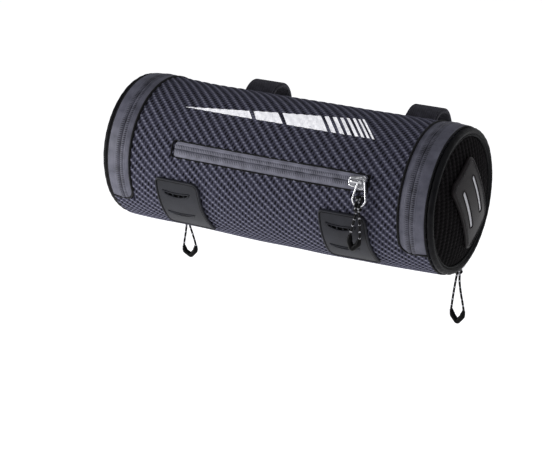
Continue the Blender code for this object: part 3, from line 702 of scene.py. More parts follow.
def stitches(line, length, gap, radius):
    """Short thread ends sunk in the surface, a stitch and a gap at a time."""
    runs = []
    place = gap
    total = line_length(line)
    while place + length < total:
        runs.append([point_on(line, place + length * share) for share in (0.0, 0.5, 1.0)])
        place += length + gap
    return drawn(runs, False, lambda share: 1.0 - 0.9 * abs(share - 0.5), dimensions="3D",
                 bevel_depth=radius, bevel_resolution=1, use_fill_caps=True)


def flat_sheet(loops, thickness, edge=0.0):
    """Sheet cut to the outlines, from zero up to its thickness, its edges
    rounded by the edge radius."""
    bm = drawn(loops, True, dimensions="2D", fill_mode="BOTH", extrude=thickness / 2 - edge,
               bevel_depth=edge, bevel_resolution=2, offset=-edge)
    bmesh.ops.translate(bm, verts=bm.verts[:], vec=(0.0, 0.0, thickness / 2))
    return bm


def slice_up(bm, axis, places):
    """Cuts the sheet across one axis so that it can bend there."""
    normal = Vector((0.0, 0.0, 0.0))
    normal[axis] = 1.0
    for place in places:
        bmesh.ops.bisect_plane(bm, geom=bm.verts[:] + bm.edges[:] + bm.faces[:], dist=1e-7,
                               plane_co=normal * place, plane_no=normal)


def slice_evenly(bm, steps):
    for axis, step in enumerate(steps):
        places = [vertex.co[axis] for vertex in bm.verts]
        first = math.floor(min(places) / step) + 1
        last = math.ceil(max(places) / step)
        slice_up(bm, axis, [index * step for index in range(first, last)])


def slice_zip(bm, axis, middle):
    """Cuts close together where a covered zip's groove and humps lie."""
    near = (0.3, 0.6, 1.2, 2.0, 3.0, 3.8, ZIP_RIDGE, 4.8)
    places = [middle + sign * offset / 1000 for offset in near for sign in (-1, 1)]
    slice_up(bm, axis, places + [middle])


def mark_cloth(bm):
    """Keeps the flat pattern's millimetres as the piece's UV map."""
    layer = bm.loops.layers.uv.new("cloth")
    for face in bm.faces:
        for loop in face.loops:
            loop[layer].uv = loop.vert.co.xy * 1000


def mark_repeats(bm, flat):
    """Counts the knit's repeats as the piece's UV map; flat gives a vertex's
    place on the flat pattern."""
    layer = bm.loops.layers.uv.new("repeats")
    for vertex in bm.verts:
        place = flat(vertex.co) * 1000
        count = (ALONG_RIB.dot(place) + PEARL_PHASE, ACROSS_RIBS.dot(place) + RIB_PHASE)
        for loop in vertex.link_loops:
            loop[layer].uv = count


def mark_round(bm, radius):
    """UV map in millimetres of a piece turned about X: across and arc."""
    layer = bm.loops.layers.uv.new("cloth")
    for face in bm.faces:
        middle = face.calc_center_median()
        face_turn = math.atan2(middle.z, middle.y)
        for loop in face.loops:
            co = loop.vert.co
            turn = math.atan2(co.z, co.y)
            turn += round((face_turn - turn) / (2 * math.pi)) * 2 * math.pi
            loop[layer].uv = ((co.x - co.yz.length) * 1000, turn * radius * 1000)


def wrap(bm, height, steps, relief=None):
    """Bends a flat sheet round the tube, its underside at the height."""
    slice_evenly(bm, steps)
    mark_cloth(bm)
    for vertex in bm.verts:
        x, arc, up = vertex.co
        rise = relief(x, arc, up) if relief else 0.0
        vertex.co = on_bag(x, arc, height + up + rise)
    return bm


def piece(name, bm, finish, slot, *nodes, smooth=40.0):
    """Makes the bmesh a piece that rides on the bag and is placed on it."""
    bmesh.ops.recalc_face_normals(bm, faces=bm.faces[:])
    bmesh.ops.translate(bm, verts=bm.verts[:], vec=BAG_CENTRE)
    data = bpy.data.meshes.new(name)
    bm.to_mesh(data)
    bm.free()
    data.shade_smooth()
    data.set_sharp_from_angle(angle=math.radians(smooth))
    data.materials.append(finish)
    made = put_in_scene(name, data)
    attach(made, "root")
    if nodes:
        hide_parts(*nodes)
    return made


def turn_fully(bm, line, steps):
    """Turns a line of vertices, with its edges, all the way round X."""
    bmesh.ops.spin(bm, geom=line, cent=(0.0, 0.0, 0.0), axis=(1.0, 0.0, 0.0), angle=2 * math.pi,
                   steps=steps, use_merge=True)
    bmesh.ops.remove_doubles(bm, verts=bm.verts[:], dist=1e-6)


def turned(profile, side, steps):
    """Closed profile of places along the axis and radii, turned about it."""
    bm = bmesh.new()
    ring = [bm.verts.new((side * x, 0.0, radius)) for x, radius in profile]
    edges = [bm.edges.new((ring[i - 1], ring[i])) for i in range(len(ring))]
    turn_fully(bm, ring + edges, steps)
    mark_round(bm, END_RADIUS)
    return bm


# The knitted tube

def in_pocket(x, arc):
    """How far a point lies inside the pocket's window, in metres."""
    middle = Vector(((POCKET_LEFT + POCKET_RIGHT) / 2, POCKET_MIDDLE))
    half = Vector(((POCKET_RIGHT - POCKET_LEFT) / 2, (POCKET_HIGH - POCKET_LOW) / 2))
    return -max(abs(x - middle.x) - half.x, abs(arc - middle.y) - half.y)


def knit_height(x, arc):
    """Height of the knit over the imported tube: ribs, soft waves, recesses."""
    soft = noise.noise(Vector((x * 28, arc * 28, 0.0))) * 0.00035
    height = rib_relief(x, arc) + soft - 0.0003
    low = arc_of(BAND_FRONT_ANGLE)
    high = arc_of(BAND_REAR_ANGLE)
    under_band = min(ease(abs(x), BAND_INNER - 0.0004, BAND_INNER + 0.0008),
                     ease(arc, low - 0.0008, low + 0.0004),
                     1 - ease(arc, high - 0.0004, high + 0.0008))
    height += (-BAND_THICKNESS - 0.0006 - height) * under_band
    under_tape = ease(in_pocket(x, arc), -0.0002, 0.0009)
    height += (-POCKET_DEPTH - 0.0004 - height) * under_tape
    return height


def make_knit():
    """Outer face on a fine grid that carries the ribs, closed with a wall."""
    bm = bmesh.new()
    around = 2 * math.pi * END_RADIUS
    low = arc_of(SEAM_ANGLE)
    bmesh.ops.create_grid(bm, x_segments=232, y_segments=324, size=0.5)
    bmesh.ops.transform(bm, verts=bm.verts[:], matrix=Matrix.Translation((0.0, low + around / 2, 0.0))
                        @ Matrix.Diagonal((2 * HALF, around, 1.0, 1.0)))
    mark_repeats(bm, lambda place: place.xy)
    for vertex in bm.verts:
        x, arc, _ = vertex.co
        vertex.co = on_bag(x, arc, knit_height(x, arc))
    border = [vertex for vertex in bm.verts if vertex.is_boundary]
    bmesh.ops.remove_doubles(bm, verts=border, dist=0.0004)
    # The wall's thickness at both ends, and its inner face between them
    rings = []
    for side in (-1, 1):
        mouth = [edge for edge in bm.edges
                 if edge.is_boundary and edge.verts[0].co.x * side > HALF / 2]
        grown = bmesh.ops.extrude_edge_only(bm, edges=mouth)["geom"]
        middle = Vector((0.0, END_LIFT))
        for vertex in grown:
            if isinstance(vertex, bmesh.types.BMVert):
                vertex.co.yz = middle + (vertex.co.yz - middle).normalized() * (END_RADIUS - WALL)
        rings += [item for item in grown if isinstance(item, bmesh.types.BMEdge)]
    bmesh.ops.bridge_loops(bm, edges=rings)
    body = piece("knit_tube", bm, KNIT, "knit", "bag_body", smooth=60.0)

    # The tube's own lengthwise seam, taped, low behind
    tape = [Vector((across * (HALF - 0.0005), low + along * SEAM_TAPE_WIDTH / 2))
            for across, along in RECTANGLE]
    tape = wrap(flat_sheet([tape], SEAM_TAPE_THICKNESS, edge=0.0003), 0.0, steps=(0.006, 0.0015))
    piece("knit_seam", tape, PIPING_CLOTH_AND_SHADE, "rim_fabric")


# The zipped ends

def band_outline(side, margin=0.0):
    low = arc_of(BAND_FRONT_ANGLE) - margin
    high = arc_of(BAND_REAR_ANGLE) + margin
    inner = BAND_INNER - margin
    corners = [(inner, low), (BAND_OUTER, low), (BAND_OUTER, high), (inner, high)]
    radii = [BAND_CORNER + margin, 0.0, 0.0, BAND_CORNER + margin]
    return [Vector((side * x, y)) for x, y in fillet(corners, radii)]


def zip_relief(away):
    """Covered coil of a zip: a low hump each side of a fine groove."""
    hump = 0.00045 * math.exp(-((away - 0.0020) / 0.0011) ** 2)
    return hump - 0.00025 * math.exp(-(away / 0.0005) ** 2)


def band_relief(x, arc, up):
    share = (abs(x) - BAND_INNER) / (BAND_OUTER - BAND_INNER)
    puff = 0.0005 * math.sin(math.pi * min(1.0, max(0.0, share)))
    wave = noise.noise(Vector((x * 60, arc * 35, 3.0))) * 0.00025
    return (zip_relief(abs(abs(x) - END_ZIP)) + puff + wave) * min(1.0, up / BAND_THICKNESS)


def make_bands():
    for side, name in SIDES:
        bm = flat_sheet([band_outline(side)], BAND_THICKNESS, edge=0.0005)
        slice_zip(bm, 0, side * END_ZIP)
        wrap(bm, -BAND_THICKNESS, steps=(0.0040, 0.0025), relief=band_relief)
        piece("band_" + name, bm, BAND_CLOTH, "coated_fabric", "zip_band_" + name, smooth=50.0)
        # Three sides of the outline: from its lower outer corner round the inner side
        outline = band_outline(side, 0.0002)
        seam = laid(outline[9::-1] + outline[:9:-1], spacing=0.003, height=-0.0001, closed=False)
        # Black piping along the inner seam; along the band's lower end it also stands in as painted
        # shade under that end
        piece("band_piping_and_shade_" + name, tube([seam], PIPING_RADIUS), PIPING_CLOTH_AND_SHADE, "rim_fabric")


def make_rims():
    for side, name in SIDES:
        start = HALF + GAP
        roll = RIM_WIDTH / 2
        outside = rim_radius(side)
        hole = rim_hole(side)
        profile = [(start, hole + 0.0004)]
        for step in range(13):
            turn = math.pi - math.pi * step / 12
            profile.append((start + roll + roll * math.cos(turn),
                            outside - roll * 0.9 * (1 - math.sin(turn))))
        profile += [(start + RIM_WIDTH - 0.0004, outside - roll - 0.0010),
                    (start + RIM_WIDTH - 0.0014, hole + 0.0006)]
        bm = turned(profile, side, 180)
        for vertex in bm.verts:
            turn = math.atan2(vertex.co.z, vertex.co.y)
            pucker = math.sin(turn * 46 + 2 * math.sin(turn * 5)) * 0.00012
            swell = noise.noise(Vector((math.cos(turn) * 3, math.sin(turn) * 3, side))) * 0.0003
            vertex.co.yz = vertex.co.yz * (1 + (pucker + swell) / vertex.co.yz.length)
        bmesh.ops.translate(bm, verts=bm.verts[:], vec=(0.0, 0.0, END_LIFT))
        piece("rim_" + name, bm, RIM_CLOTH, "rim_fabric", "end_rim_" + name, smooth=60.0)
        # Narrow bindings: one between band and rim, one where the panel is sewn in
        bindings = []
        for x, radius, thick in ((HALF + 0.0001, bag_radius(side * HALF) - 0.0008, 0.0007),
                                 (HALF + RIM_WIDTH - 0.0014, hole - 0.0001, 0.0008)):
            ring = [Vector((side * x, radius * math.cos(turn), END_LIFT + radius * math.sin(turn)))
                    for turn in full_turn(120)]
            bindings.append(tube([ring], thick, sides=8, closed=True))
        piece("rim_binding_" + name, joined(bindings), PIPING_CLOTH_AND_SHADE, "rim_fabric")


def panel_surface(share):
    """How far out the end panel's face lies at a share of its radius."""
    edge = HALF + RIM_WIDTH - PANEL_INSET
    return edge + PANEL_CROWN * (1.0 - share ** 2)


def make_panels():
    """Domed end panels of the same knit, its ribs nearly upright, in a darker copy of its material:
    painted shade.
    """
    spin = Matrix.Rotation(math.radians(51.5), 2)
    for side, name in SIDES:
        reach = rim_hole(side) - GAP
        bm = bmesh.new()
        rings = 42
        line = [bm.verts.new((0.0, 0.0, reach * step / rings)) for step in range(rings + 1)]
        edges = [bm.edges.new(pair) for pair in zip(line, line[1:])]
        turn_fully(bm, line + edges, 200)

        def flat(place):
            return spin @ Vector((side * place.y, place.z))

        mark_repeats(bm, flat)
        for vertex in bm.verts:
            radius = vertex.co.yz.length
            fade = ease(reach - radius, 0.0, 0.004)
            rise = rib_relief(*flat(vertex.co)) * fade - 0.0006 * (1 - fade)
            vertex.co.x = side * (panel_surface(radius / reach) - 0.0002 + rise)
        grown = bmesh.ops.extrude_face_region(bm, geom=bm.faces[:])["geom"]
        back = [item for item in grown if isinstance(item, bmesh.types.BMVert)]
        bmesh.ops.translate(bm, verts=back, vec=(-side * 0.0028, 0.0, 0.0))
        bmesh.ops.translate(bm, verts=bm.verts[:], vec=(0.0, 0.0, END_LIFT))
        panel = piece("panel_" + name, bm, END_KNIT_PAINTED_SHADE, "ribbed_fabric", "end_panel_" + name, smooth=60.0)


def panel_point(y, z, height):
    """A point over the right panel, drawn as it is seen from the right."""
    share = math.hypot(y, z) / (rim_hole(1) - GAP)
    return Vector((panel_surface(share) + height, y, z + END_LIFT))


def on_panel(bm, height):
    """Lays a flat sheet on the right panel."""
    slice_evenly(bm, (0.004, 0.004))
    mark_cloth(bm)
    for vertex in bm.verts:
        vertex.co = panel_point(vertex.co.x, vertex.co.y, height + vertex.co.z)
    return bm


def tab_slots(length, width):
    across = math.radians(TAB_SLOT_TILT)
    step = Vector((math.cos(across), math.sin(across))) * (TAB_SLOT_SPACING / 2)
    return [slot_outline(Vector(TAB_SLOT_CENTRE) + sign * step, length, width, TAB_SLOT_TILT - 90.0)
            for sign in (-1, 1)]


def make_tab():
    """Moulded lash tab: raised lip, a stitched seam and two lipped slots."""
    y, z = TAB_CENTRE
    corners = [(y, z + TAB_REACH), (y - TAB_SIDE_REACH, z + TAB_SLANT),
               (y, z - TAB_REACH), (y + TAB_SIDE_REACH, z - TAB_SLANT)]
    outline = fillet(corners, [TAB_CORNER] * 4)
    slots = tab_slots(TAB_SLOT_LENGTH, TAB_SLOT_WIDTH)
    bm = on_panel(flat_sheet([outline] + slots, TAB_THICKNESS, edge=0.0006), GAP)
    piece("tab", bm, TAB_RUBBER_PAINTED_SHADE, "rubber", "lash_tab")
    top = GAP + TAB_THICKNESS
    edges = [inset_outline(outline, 0.0016)]
    edges += tab_slots(TAB_SLOT_LENGTH + 0.0014, TAB_SLOT_WIDTH + 0.0014)
    lips = [laid(edge, spacing=0.003, height=top, lay=panel_point) for edge in edges]
    piece("tab_lips", tube(lips, TAB_LIP_RADIUS, sides=8, closed=True), TAB_RUBBER_PAINTED_SHADE, "rubber")
    seam = laid(inset_outline(outline, 0.0031), spacing=0.001, height=top + 0.00005, lay=panel_point)
    seam = stitches(seam, length=0.0019, gap=0.0008, radius=0.00028)
    piece("tab_stitches", seam, THREAD, "rubber")
    strips = tab_slots(TAB_SLOT_LENGTH - 2 * GAP, TAB_SLOT_WIDTH - 2 * GAP)
    for name, strip in zip(("front", "rear"), strips):
        bm = on_panel(flat_sheet([strip], STRIP_THICKNESS, edge=0.0003), GAP)
        piece("tab_reflector_" + name, bm, STRIP_FILM, "reflective_film", "reflector_" + name)


# The front: pocket zip, patches and print

def pocket_outline(left, right, margin):
    low = POCKET_LOW + margin
    high = POCKET_HIGH - margin
    corners = [(left, low), (right, low), (right, high), (left, high)]
    wide = POCKET_CORNER + 0.0008
    return fillet(corners, [wide, POCKET_CORNER, POCKET_CORNER, wide])


def tape_relief(x, arc, up):
    wave = noise.noise(Vector((x * 45, arc * 90, 7.0))) * 0.00025
    return (zip_relief(abs(arc - POCKET_MIDDLE)) + wave) * min(1.0, up / TAPE_THICKNESS)


def make_pocket():
    """Zip tape in its window, over a black sheet that shows past its ends: painted shade in the recess.
    """
    shade_sheet = flat_sheet([pocket_outline(POCKET_LEFT + GAP, POCKET_RIGHT - GAP, GAP)], WELL_SHADE_THICKNESS)
    wrap(shade_sheet, GAP - POCKET_DEPTH - 0.0005, steps=(0.006, 0.003))
    piece("pocket_well_painted_shade", shade_sheet, PIPING_CLOTH_AND_SHADE, "knit")
    outline = dense(pocket_outline(POCKET_LEFT + 0.0020, POCKET_RIGHT - 0.0016, GAP), 0.003)
    outline = [point + Vector((0.0, noise.noise(Vector((point.x * 70, point.y * 40, 1.0))) * 0.0004))
               for point in outline]
    tape = flat_sheet([outline], TAPE_THICKNESS, edge=0.0003)
    slice_zip(tape, 1, POCKET_MIDDLE)
    wrap(tape, GAP - POCKET_DEPTH, steps=(0.0030, 0.0040), relief=tape_relief)
    piece("pocket_tape", tape, POCKET_CLOTH, "coated_fabric", "pocket_zip", smooth=50.0)
    # A black bead round the window: painted shade along the knit's cut edge
    edge = pocket_outline(POCKET_LEFT - 0.0002, POCKET_RIGHT + 0.0002, -0.0002)
    edge = tube([laid(edge, spacing=0.003, height=-0.0006)], EDGE_SHADE_RADIUS, sides=8, closed=True)
    piece("pocket_edge_painted_shade", edge, PIPING_CLOTH_AND_SHADE, "knit")


def patch_outline(edge):
    right = edge + PATCH_WIDTH
    low = PATCH_TOP - PATCH_HEIGHT
    corners = [(edge, PATCH_TOP), (edge + PATCH_FLARE / 2, low), (right + PATCH_FLARE, low),
               (right, (PATCH_TOP + low) / 2), (right - PATCH_FLARE / 2, PATCH_TOP)]
    return fillet(corners, [0.0035, 0.0060, 0.0012, 0.0200, 0.0060])


def smile(middle, length, width, sag):
    """A groove that dips in its middle, as a moulded lash slot does."""
    top = [Vector((middle[0] + length * (step / 16 - 0.5),
                   middle[1] + width / 2 - sag * math.sin(math.pi * step / 16))) for step in range(17)]
    low = [Vector((p.x, p.y - width * math.sin(math.pi * step / 16) ** 0.3))
           for step, p in enumerate(top[1:-1], 1)]
    return top + low[::-1]


def make_patches():
    for edge, name in zip(PATCH_EDGES, ("left", "right")):
        outline = patch_outline(edge)
        middle = edge + PATCH_WIDTH * 0.46
        slots = [smile((middle, PATCH_TOP - drop), length=0.0240, width=width, sag=0.0010)
                 for drop, width in ((0.0112, 0.0044), (0.0298, 0.0030))]
        bm = flat_sheet([outline] + slots, PATCH_THICKNESS, edge=0.0005)
        wrap(bm, GAP, steps=(0.0030, 0.0030))
        piece("patch_rubber_" + name, bm, RUBBER, "rubber", "patch_" + name)
        top = GAP + PATCH_THICKNESS
        lip, groove = [laid(inset_outline(outline, inset), spacing=0.0025, height=top - 0.0001)
                       for inset in (0.0008, 0.0018)]
        around = [laid(inset_outline(slot, -0.0005), spacing=0.002, height=top) for slot in slots]
        lips = tube([lip] + around, PATCH_LIP_RADIUS, sides=8, closed=True)
        # Plain studs on the slots' floors
        studs = [[on_bag(middle + x, PATCH_TOP - drop + y, GAP + 0.0010) for y in (-0.0009, 0.0009)]
                 for drop, x in ((0.0122, -0.0078), (0.0122, -0.0034), (0.0128, 0.0016),
                                 (0.0122, 0.0060), (0.0308, 0.0030), (0.0303, 0.0082))]
        studs = tube(studs, STUD_RADIUS, sides=8)
        piece("patch_lips_" + name, joined([lips, studs]), RUBBER, "rubber")
        # A black sheet and a thin black line: painted shadow round the rubber, painted shade in the
        # slots and in a groove inside the lip
        shadow_sheet = flat_sheet([inset_outline(outline, -0.0011)], PATCH_SHADOW_THICKNESS)
        wrap(shadow_sheet, GAP, steps=(0.0040, 0.0040))
        groove = tube([groove], PATCH_GROOVE_SHADE_RADIUS, sides=8, closed=True)
        piece("patch_painted_shadow_" + name, joined([shadow_sheet, groove]), PLASTIC_AND_SHADOW, "rubber")


# Outlines of the generic reflective print in x and arc, millimetres
PRINT = (
    ((-78.0, 55.0), (-20.0, 55.0), (-26.0, 61.8)),
    ((-16.5, 55.0), (6.0, 55.0), (-3.0, 64.8), (-22.5, 62.3)),
    ((9.5, 55.0), (43.0, 55.0), (30.5, 69.2), (0.6, 65.3)),
    ((46.0, 55.0), (50.0, 55.0), (36.5, 70.0), (33.3, 69.6)),
    ((53.0, 55.0), (56.6, 55.0), (42.4, 70.8), (39.5, 70.4)),
    ((59.4, 55.0), (62.6, 55.0), (47.7, 71.5), (45.2, 71.2)),
    ((65.2, 55.0), (68.0, 55.0), (52.5, 72.1), (50.3, 71.8)),
    ((70.4, 55.0), (72.8, 55.0), (56.8, 72.7), (54.9, 72.4)),
    ((75.0, 55.0), (77.0, 55.0), (60.5, 73.2), (58.9, 73.0)),
    ((79.0, 55.0), (80.7, 55.0), (63.7, 73.6), (62.3, 73.4)))


def make_print():
    """Film pressed on the knit, so it half follows the ribs."""
    parts = []
    for shape in PRINT:
        film = flat_sheet([[Vector(corner) / 1000 for corner in shape]], FILM_THICKNESS)
        parts.append(wrap(film, 0.0003, steps=(0.0012, 0.0012),
                          relief=lambda x, arc, up: knit_height(x, arc) / 2))
    piece("print", joined(parts), FILM, "reflective_film", smooth=60.0)


# Straps on the back

def make_straps():
    half = STRAP_WIDTH / 2
    inner = BAR_HOLE_RADIUS
    outer = BAR_HOLE_RADIUS + STRAP_THICKNESS
    back_arc = arc_of(180.0 - HANG)
    round_edge = 0.0006
    corners = [(-half, inner), (half, inner), (half, outer), (-half, outer)]
    profile = fillet(corners, [round_edge] * 4, steps=1)
    for side, name in SIDES:
        middle = STRAP_OFFSET + side * STRAP_SPACING / 2
        bm = turned(profile, 1, 72)
        bmesh.ops.translate(bm, verts=bm.verts[:], vec=BAR + Vector((middle, 0.0, 0.0)))
        piece("strap_loop_" + name, bm, WEBBING, "webbing", "strap_" + name)

        # The free tail of the hook and loop, lying over the loop's top
        bm = bmesh.new()
        low = outer + 0.0001
        high = low + STRAP_TAIL_THICKNESS
        edge = half - 0.0012
        corners = [bm.verts.new((x, radius, 0.0))
                   for x, radius in ((edge, low), (edge, high), (-edge, high), (-edge, low))]
        bmesh.ops.contextual_create(bm, geom=corners)
        bmesh.ops.rotate(bm, verts=bm.verts[:], cent=(0.0, 0.0, 0.0),
                         matrix=Matrix.Rotation(math.radians(-30.0), 3, "X"))
        bmesh.ops.spin(bm, geom=bm.verts[:] + bm.edges[:] + bm.faces[:], cent=(0.0, 0.0, 0.0),
                       axis=(1.0, 0.0, 0.0), angle=math.radians(175.0), steps=32)
        bmesh.ops.holes_fill(bm, edges=[edge for edge in bm.edges if edge.is_boundary])
        mark_round(bm, outer)
        bmesh.ops.translate(bm, verts=bm.verts[:], vec=BAR + Vector((middle, 0.0, 0.0)))
        piece("strap_tail_" + name, bm, WEBBING, "webbing")

        half_foot = STRAP_FOOT / 2
        foot = [Vector((middle + across * half, back_arc + along * half_foot))
                for across, along in RECTANGLE]
        sheet = flat_sheet([foot], STRAP_THICKNESS, edge=0.0005)
        wrap(sheet, GAP, steps=(0.0030, 0.0025))
        piece("strap_foot_" + name, sheet, WEBBING, "webbing")
        seams = []
        for low, high in ((0.002 - half_foot, -0.0050), (0.0050, half_foot - 0.002)):
            box = [Vector((middle + across * (half - 0.002), back_arc + along))
                   for across, along in ((-1, low), (1, low), (1, high), (-1, high))]
            for run in (box + box[:1], [box[0], box[2]], [box[1], box[3]]):
                line = laid(run, spacing=0.001, height=GAP + STRAP_THICKNESS, closed=False)
                seams.append(stitches(line, length=0.0022, gap=0.0007, radius=0.0003))
        piece("strap_stitches_" + name, joined(seams), THREAD, "webbing")


# Sliders, pull wires and cords

def slider_frame(place, along, outward):
    across = outward.cross(along)
    turn = Matrix((along, across, outward)).transposed().to_4x4()
    return Matrix.Translation(place) @ turn


def make_slider(name, place):
    """Cast slider: wedge body with rolled flanges and an arched bridge."""
    nose = 0.0070
    cheek = 0.0045
    edge = [(-nose, cheek * 0.62), (-nose * 0.2, cheek * 0.74), (nose * 0.35, cheek), (nose, cheek)]
    corners = [(x, -y) for x, y in edge] + edge[::-1]
    radii = [0.0022, 0.0020, 0.0020, 0.0014]
    body = fillet(corners, radii + radii[::-1], steps=5)
    body = flat_sheet([body], SLIDER_THICKNESS, edge=0.0011)
    mark_cloth(body)
    top = SLIDER_THICKNESS + BRIDGE_WINDOW + 0.0006
    bridge = ((-0.0040, 0.0022), (-0.0034, 0.0048), (-0.0018, top - 0.0003), (0.0010, top),
              (0.0034, top - 0.0004), (0.0046, top - 0.0018), (0.0045, 0.0040), (0.0045, 0.0020))
    arch = smooth_line([(x, 0.0, z) for x, z in bridge], spacing=0.0006)
    arch = tube([arch], lambda share: 0.0018 - 0.0009 * ease(share, 0.05, 0.45), sides=12)
    flange = ((-0.0062, 0.0012), (-0.0048, 0.0026), (-0.0010, 0.0031), (0.0026, 0.0040),
              (0.0064, 0.0040))
    rolls = []
    for sign in (-1, 1):
        edge = smooth_line([(x, sign * y, 0.0024) for x, y in flange], spacing=0.0008)
        rolls.append(tube([edge], lambda share: 0.0004 + 0.0007 * tapered(share, 0.12)))
    bm = joined([body, arch] + rolls)
    bmesh.ops.transform(bm, verts=bm.verts[:], matrix=place)
    piece("cast_" + name, bm, SLIDER_METAL, "slider_metal", name)


def wire_line(place, down):
    """Pear-shaped loop across the bag: narrow where it hangs, wide below."""
    bowl = WIRE_BOTTOM * 1.15
    foot = WIRE_LENGTH - WIRE_TOP - bowl
    points = []
    for step in range(7):
        turn = math.pi * step / 6
        points.append((WIRE_TOP * math.cos(turn), WIRE_TOP * (1 - math.sin(turn))))
    for step in range(9):
        turn = math.pi * step / 8
        points.append((-WIRE_BOTTOM * math.cos(turn), WIRE_TOP + foot + bowl * math.sin(turn)))
    return [place + Vector((x, 0.0, 0.0)) + down * drop for x, drop in points]


def knot_lines(foot, down):
    """The cord's hitch: two turns over the wire's foot, a collar round both
    runs below it, and an overhand knot inside the wire."""
    lines = [[foot + Vector((shift * (1 + 0.15 * math.sin(turn)), 0.0019 * math.cos(turn),
                             0.0021 * math.sin(turn) - 0.0004)) for turn in full_turn(20)]
             for shift in (-0.0013, 0.0013)]
    lines.append([foot + Vector((0.0024 * math.cos(turn), 0.0019 * math.sin(turn) - 0.0002,
                                 0.0006 * math.sin(turn) - 0.0021)) for turn in full_turn(20)])
    lines.append([foot - down * (0.0046 + 0.00125 * (math.cos(turn) - 2 * math.cos(2 * turn)))
                  + Vector((0.00095 * (math.sin(turn) + 2 * math.sin(2 * turn)),
                            -0.0012 * math.sin(3 * turn), 0.0)) for turn in full_turn(48)])
    return lines


def make_pull(name, top, down, route):
    line = smooth_line(wire_line(top, down), spacing=0.0009, closed=True)
    wire = tube([line], DRAWN_WIRE_RADIUS, sides=12, closed=True)
    piece("wire_" + name, wire, WIRE_METAL, "wire_metal", "pull_wire_" + name)

    foot = top + down * WIRE_LENGTH
    knot = tube(knot_lines(foot, down), CORD / 2, closed=True)
    knot = piece("knot_" + name, knot, CORD_CLOTH, "cord", "pull_knot_" + name)

    line = smooth_line([foot + Vector((x, 0.0, z)) for x, z in route], spacing=0.0012)
    # The moulded end sits round the lowest stretch of the cord and is bent to a V
    lowest = min(range(len(line)), key=lambda index: line[index].z)
    first, last = line[lowest - 9], line[lowest + 9]
    elbows = [line[lowest - 5], line[lowest] + Vector((0.0, 0.0, -0.0006)), line[lowest + 5]]
    bent = fillet([point.xz for point in (first, *elbows, last)],
                  [0.0, 0.0012, 0.0009, 0.0012, 0.0], steps=5)
    sleeve = [Vector((point.x, first.y, point.y)) for point in dense(bent, 0.0012, closed=False)]
    bm = tube([sleeve], lambda share: SLEEVE / 2 * (0.66 + 0.34 * tapered(share, 0.10)), sides=14)
    end = piece("cord_end_" + name, bm, PLASTIC_AND_SHADOW, "moulded_plastic", "pull_end_" + name)
    cord = piece("cord_" + name, tube([line], CORD / 2), CORD_CLOTH, "cord", "pull_cord_" + name)


def make_pulls():
    along = Vector((1.0, 0.0, 0.0))
    seat = on_bag(POCKET_SLIDER_X, POCKET_MIDDLE, 2 * GAP - POCKET_DEPTH + TAPE_THICKNESS)
    outward = Vector((0.0, seat.y, seat.z)).normalized()
    make_slider("slider_pocket", slider_frame(seat, along, outward))
    post = seat + along * (BRIDGE_END - BRIDGE_POST / 2)
    post += outward * (SLIDER_THICKNESS + BRIDGE_WINDOW / 2)
    lean = math.radians(POCKET_WIRE_LEAN)
    down = Vector((0.0, -math.sin(lean), -math.cos(lean)))
    make_pull("pocket", post - down * (WIRE_TOP - GAP), down, POCKET_ROUTE)
    down = Vector((0.0, 0.0, -1.0))
    turn = math.radians(END_SLIDER_ANGLE)
    outward = Vector((0.0, -math.cos(turn), math.sin(turn)))
    run = Vector((0.0, math.sin(turn), math.cos(turn)))
    for side, name, route in ((-1, "left", LEFT_ROUTE), (1, "right", RIGHT_ROUTE)):
        seat = on_bag(side * END_ZIP, arc_of(END_SLIDER_ANGLE), GAP)
        make_slider("slider_" + name, slider_frame(seat, run, outward))
        hole = seat + outward * (SLIDER_THICKNESS + BRIDGE_WINDOW / 2)
        make_pull(name, hole + down * (WIRE / 2), down, route)


# Room, lights and camera

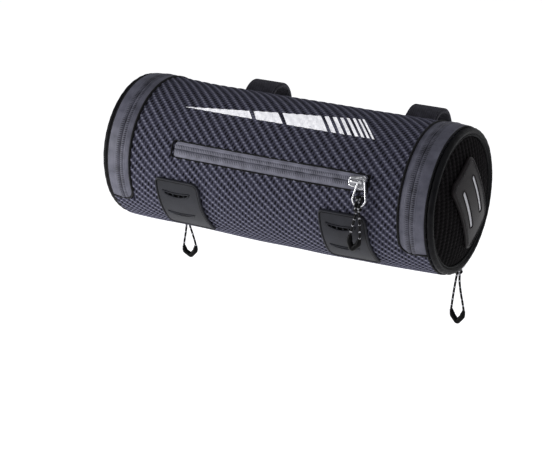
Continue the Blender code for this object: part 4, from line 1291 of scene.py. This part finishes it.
def make_room():
    bm = bmesh.new()
    bmesh.ops.create_grid(bm, x_segments=2, y_segments=2, size=6.0,
                          matrix=Matrix.Translation((0.0, 0.0, FLOOR_HEIGHT)))
    data = bpy.data.meshes.new("floor")
    bm.to_mesh(data)
    bm.free()
    # Lit from within as a light table is, so that it stays pale behind the bag
    made, tree = start_material("light_table_floor", Roughness=0.9, Specular_IOR_Level=0.1,
                                Emission_Color=linear("#ffffff"), Emission_Strength=FLOOR_GLOW)
    place = add_node(tree, "ShaderNodeTexCoord").outputs["Object"]
    cloudy = add_node(tree, "ShaderNodeTexNoise", {"Vector": place, "Scale": 3.0})
    finish_surface(tree, cloudy, ((0.3, "#f2f2f4"), (0.7, "#f6f6f7")), cloudy, distance=0.0001,
                   strength=0.1)
    data.materials.append(made)
    put_in_scene("floor", data)

    world = bpy.data.worlds.new("room")
    world.use_nodes = True
    background = world.node_tree.nodes["Background"]
    background.inputs["Color"].default_value = linear("#f4f5fa")
    background.inputs["Strength"].default_value = ROOM_LIGHT
    bpy.context.scene.world = world
    bpy.context.scene.view_settings.view_transform = "Standard"

    for name, place, aim, size, power in LIGHTS:
        data = bpy.data.lights.new(name, "AREA")
        data.shape = "DISK"
        data.size = size
        data.energy = power
        lamp = put_in_scene(name, data)
        lamp.location = place
        lamp.rotation_euler = (Vector(aim) - Vector(place)).to_track_quat("-Z", "Y").to_euler()


def make_camera():
    data = bpy.data.cameras.new("camera")
    data.sensor_width = 36.0
    data.sensor_fit = "HORIZONTAL"
    data.lens = CAMERA_LENS
    data.clip_start = 0.01
    camera = put_in_scene("camera", data)
    turn = (Matrix.Rotation(math.radians(CAMERA_AZIMUTH), 4, "Z")
            @ Matrix.Rotation(math.radians(90.0 - CAMERA_ELEVATION), 4, "X"))
    back = turn @ Vector((0.0, 0.0, CAMERA_DISTANCE))
    camera.matrix_world = Matrix.Translation(CAMERA_AIM + back) @ turn
    bpy.context.scene.camera = camera


make_camera()
make_room()
make_knit()
make_bands()
make_rims()
make_panels()
make_tab()
make_pocket()
make_patches()
make_print()
make_straps()
make_pulls()
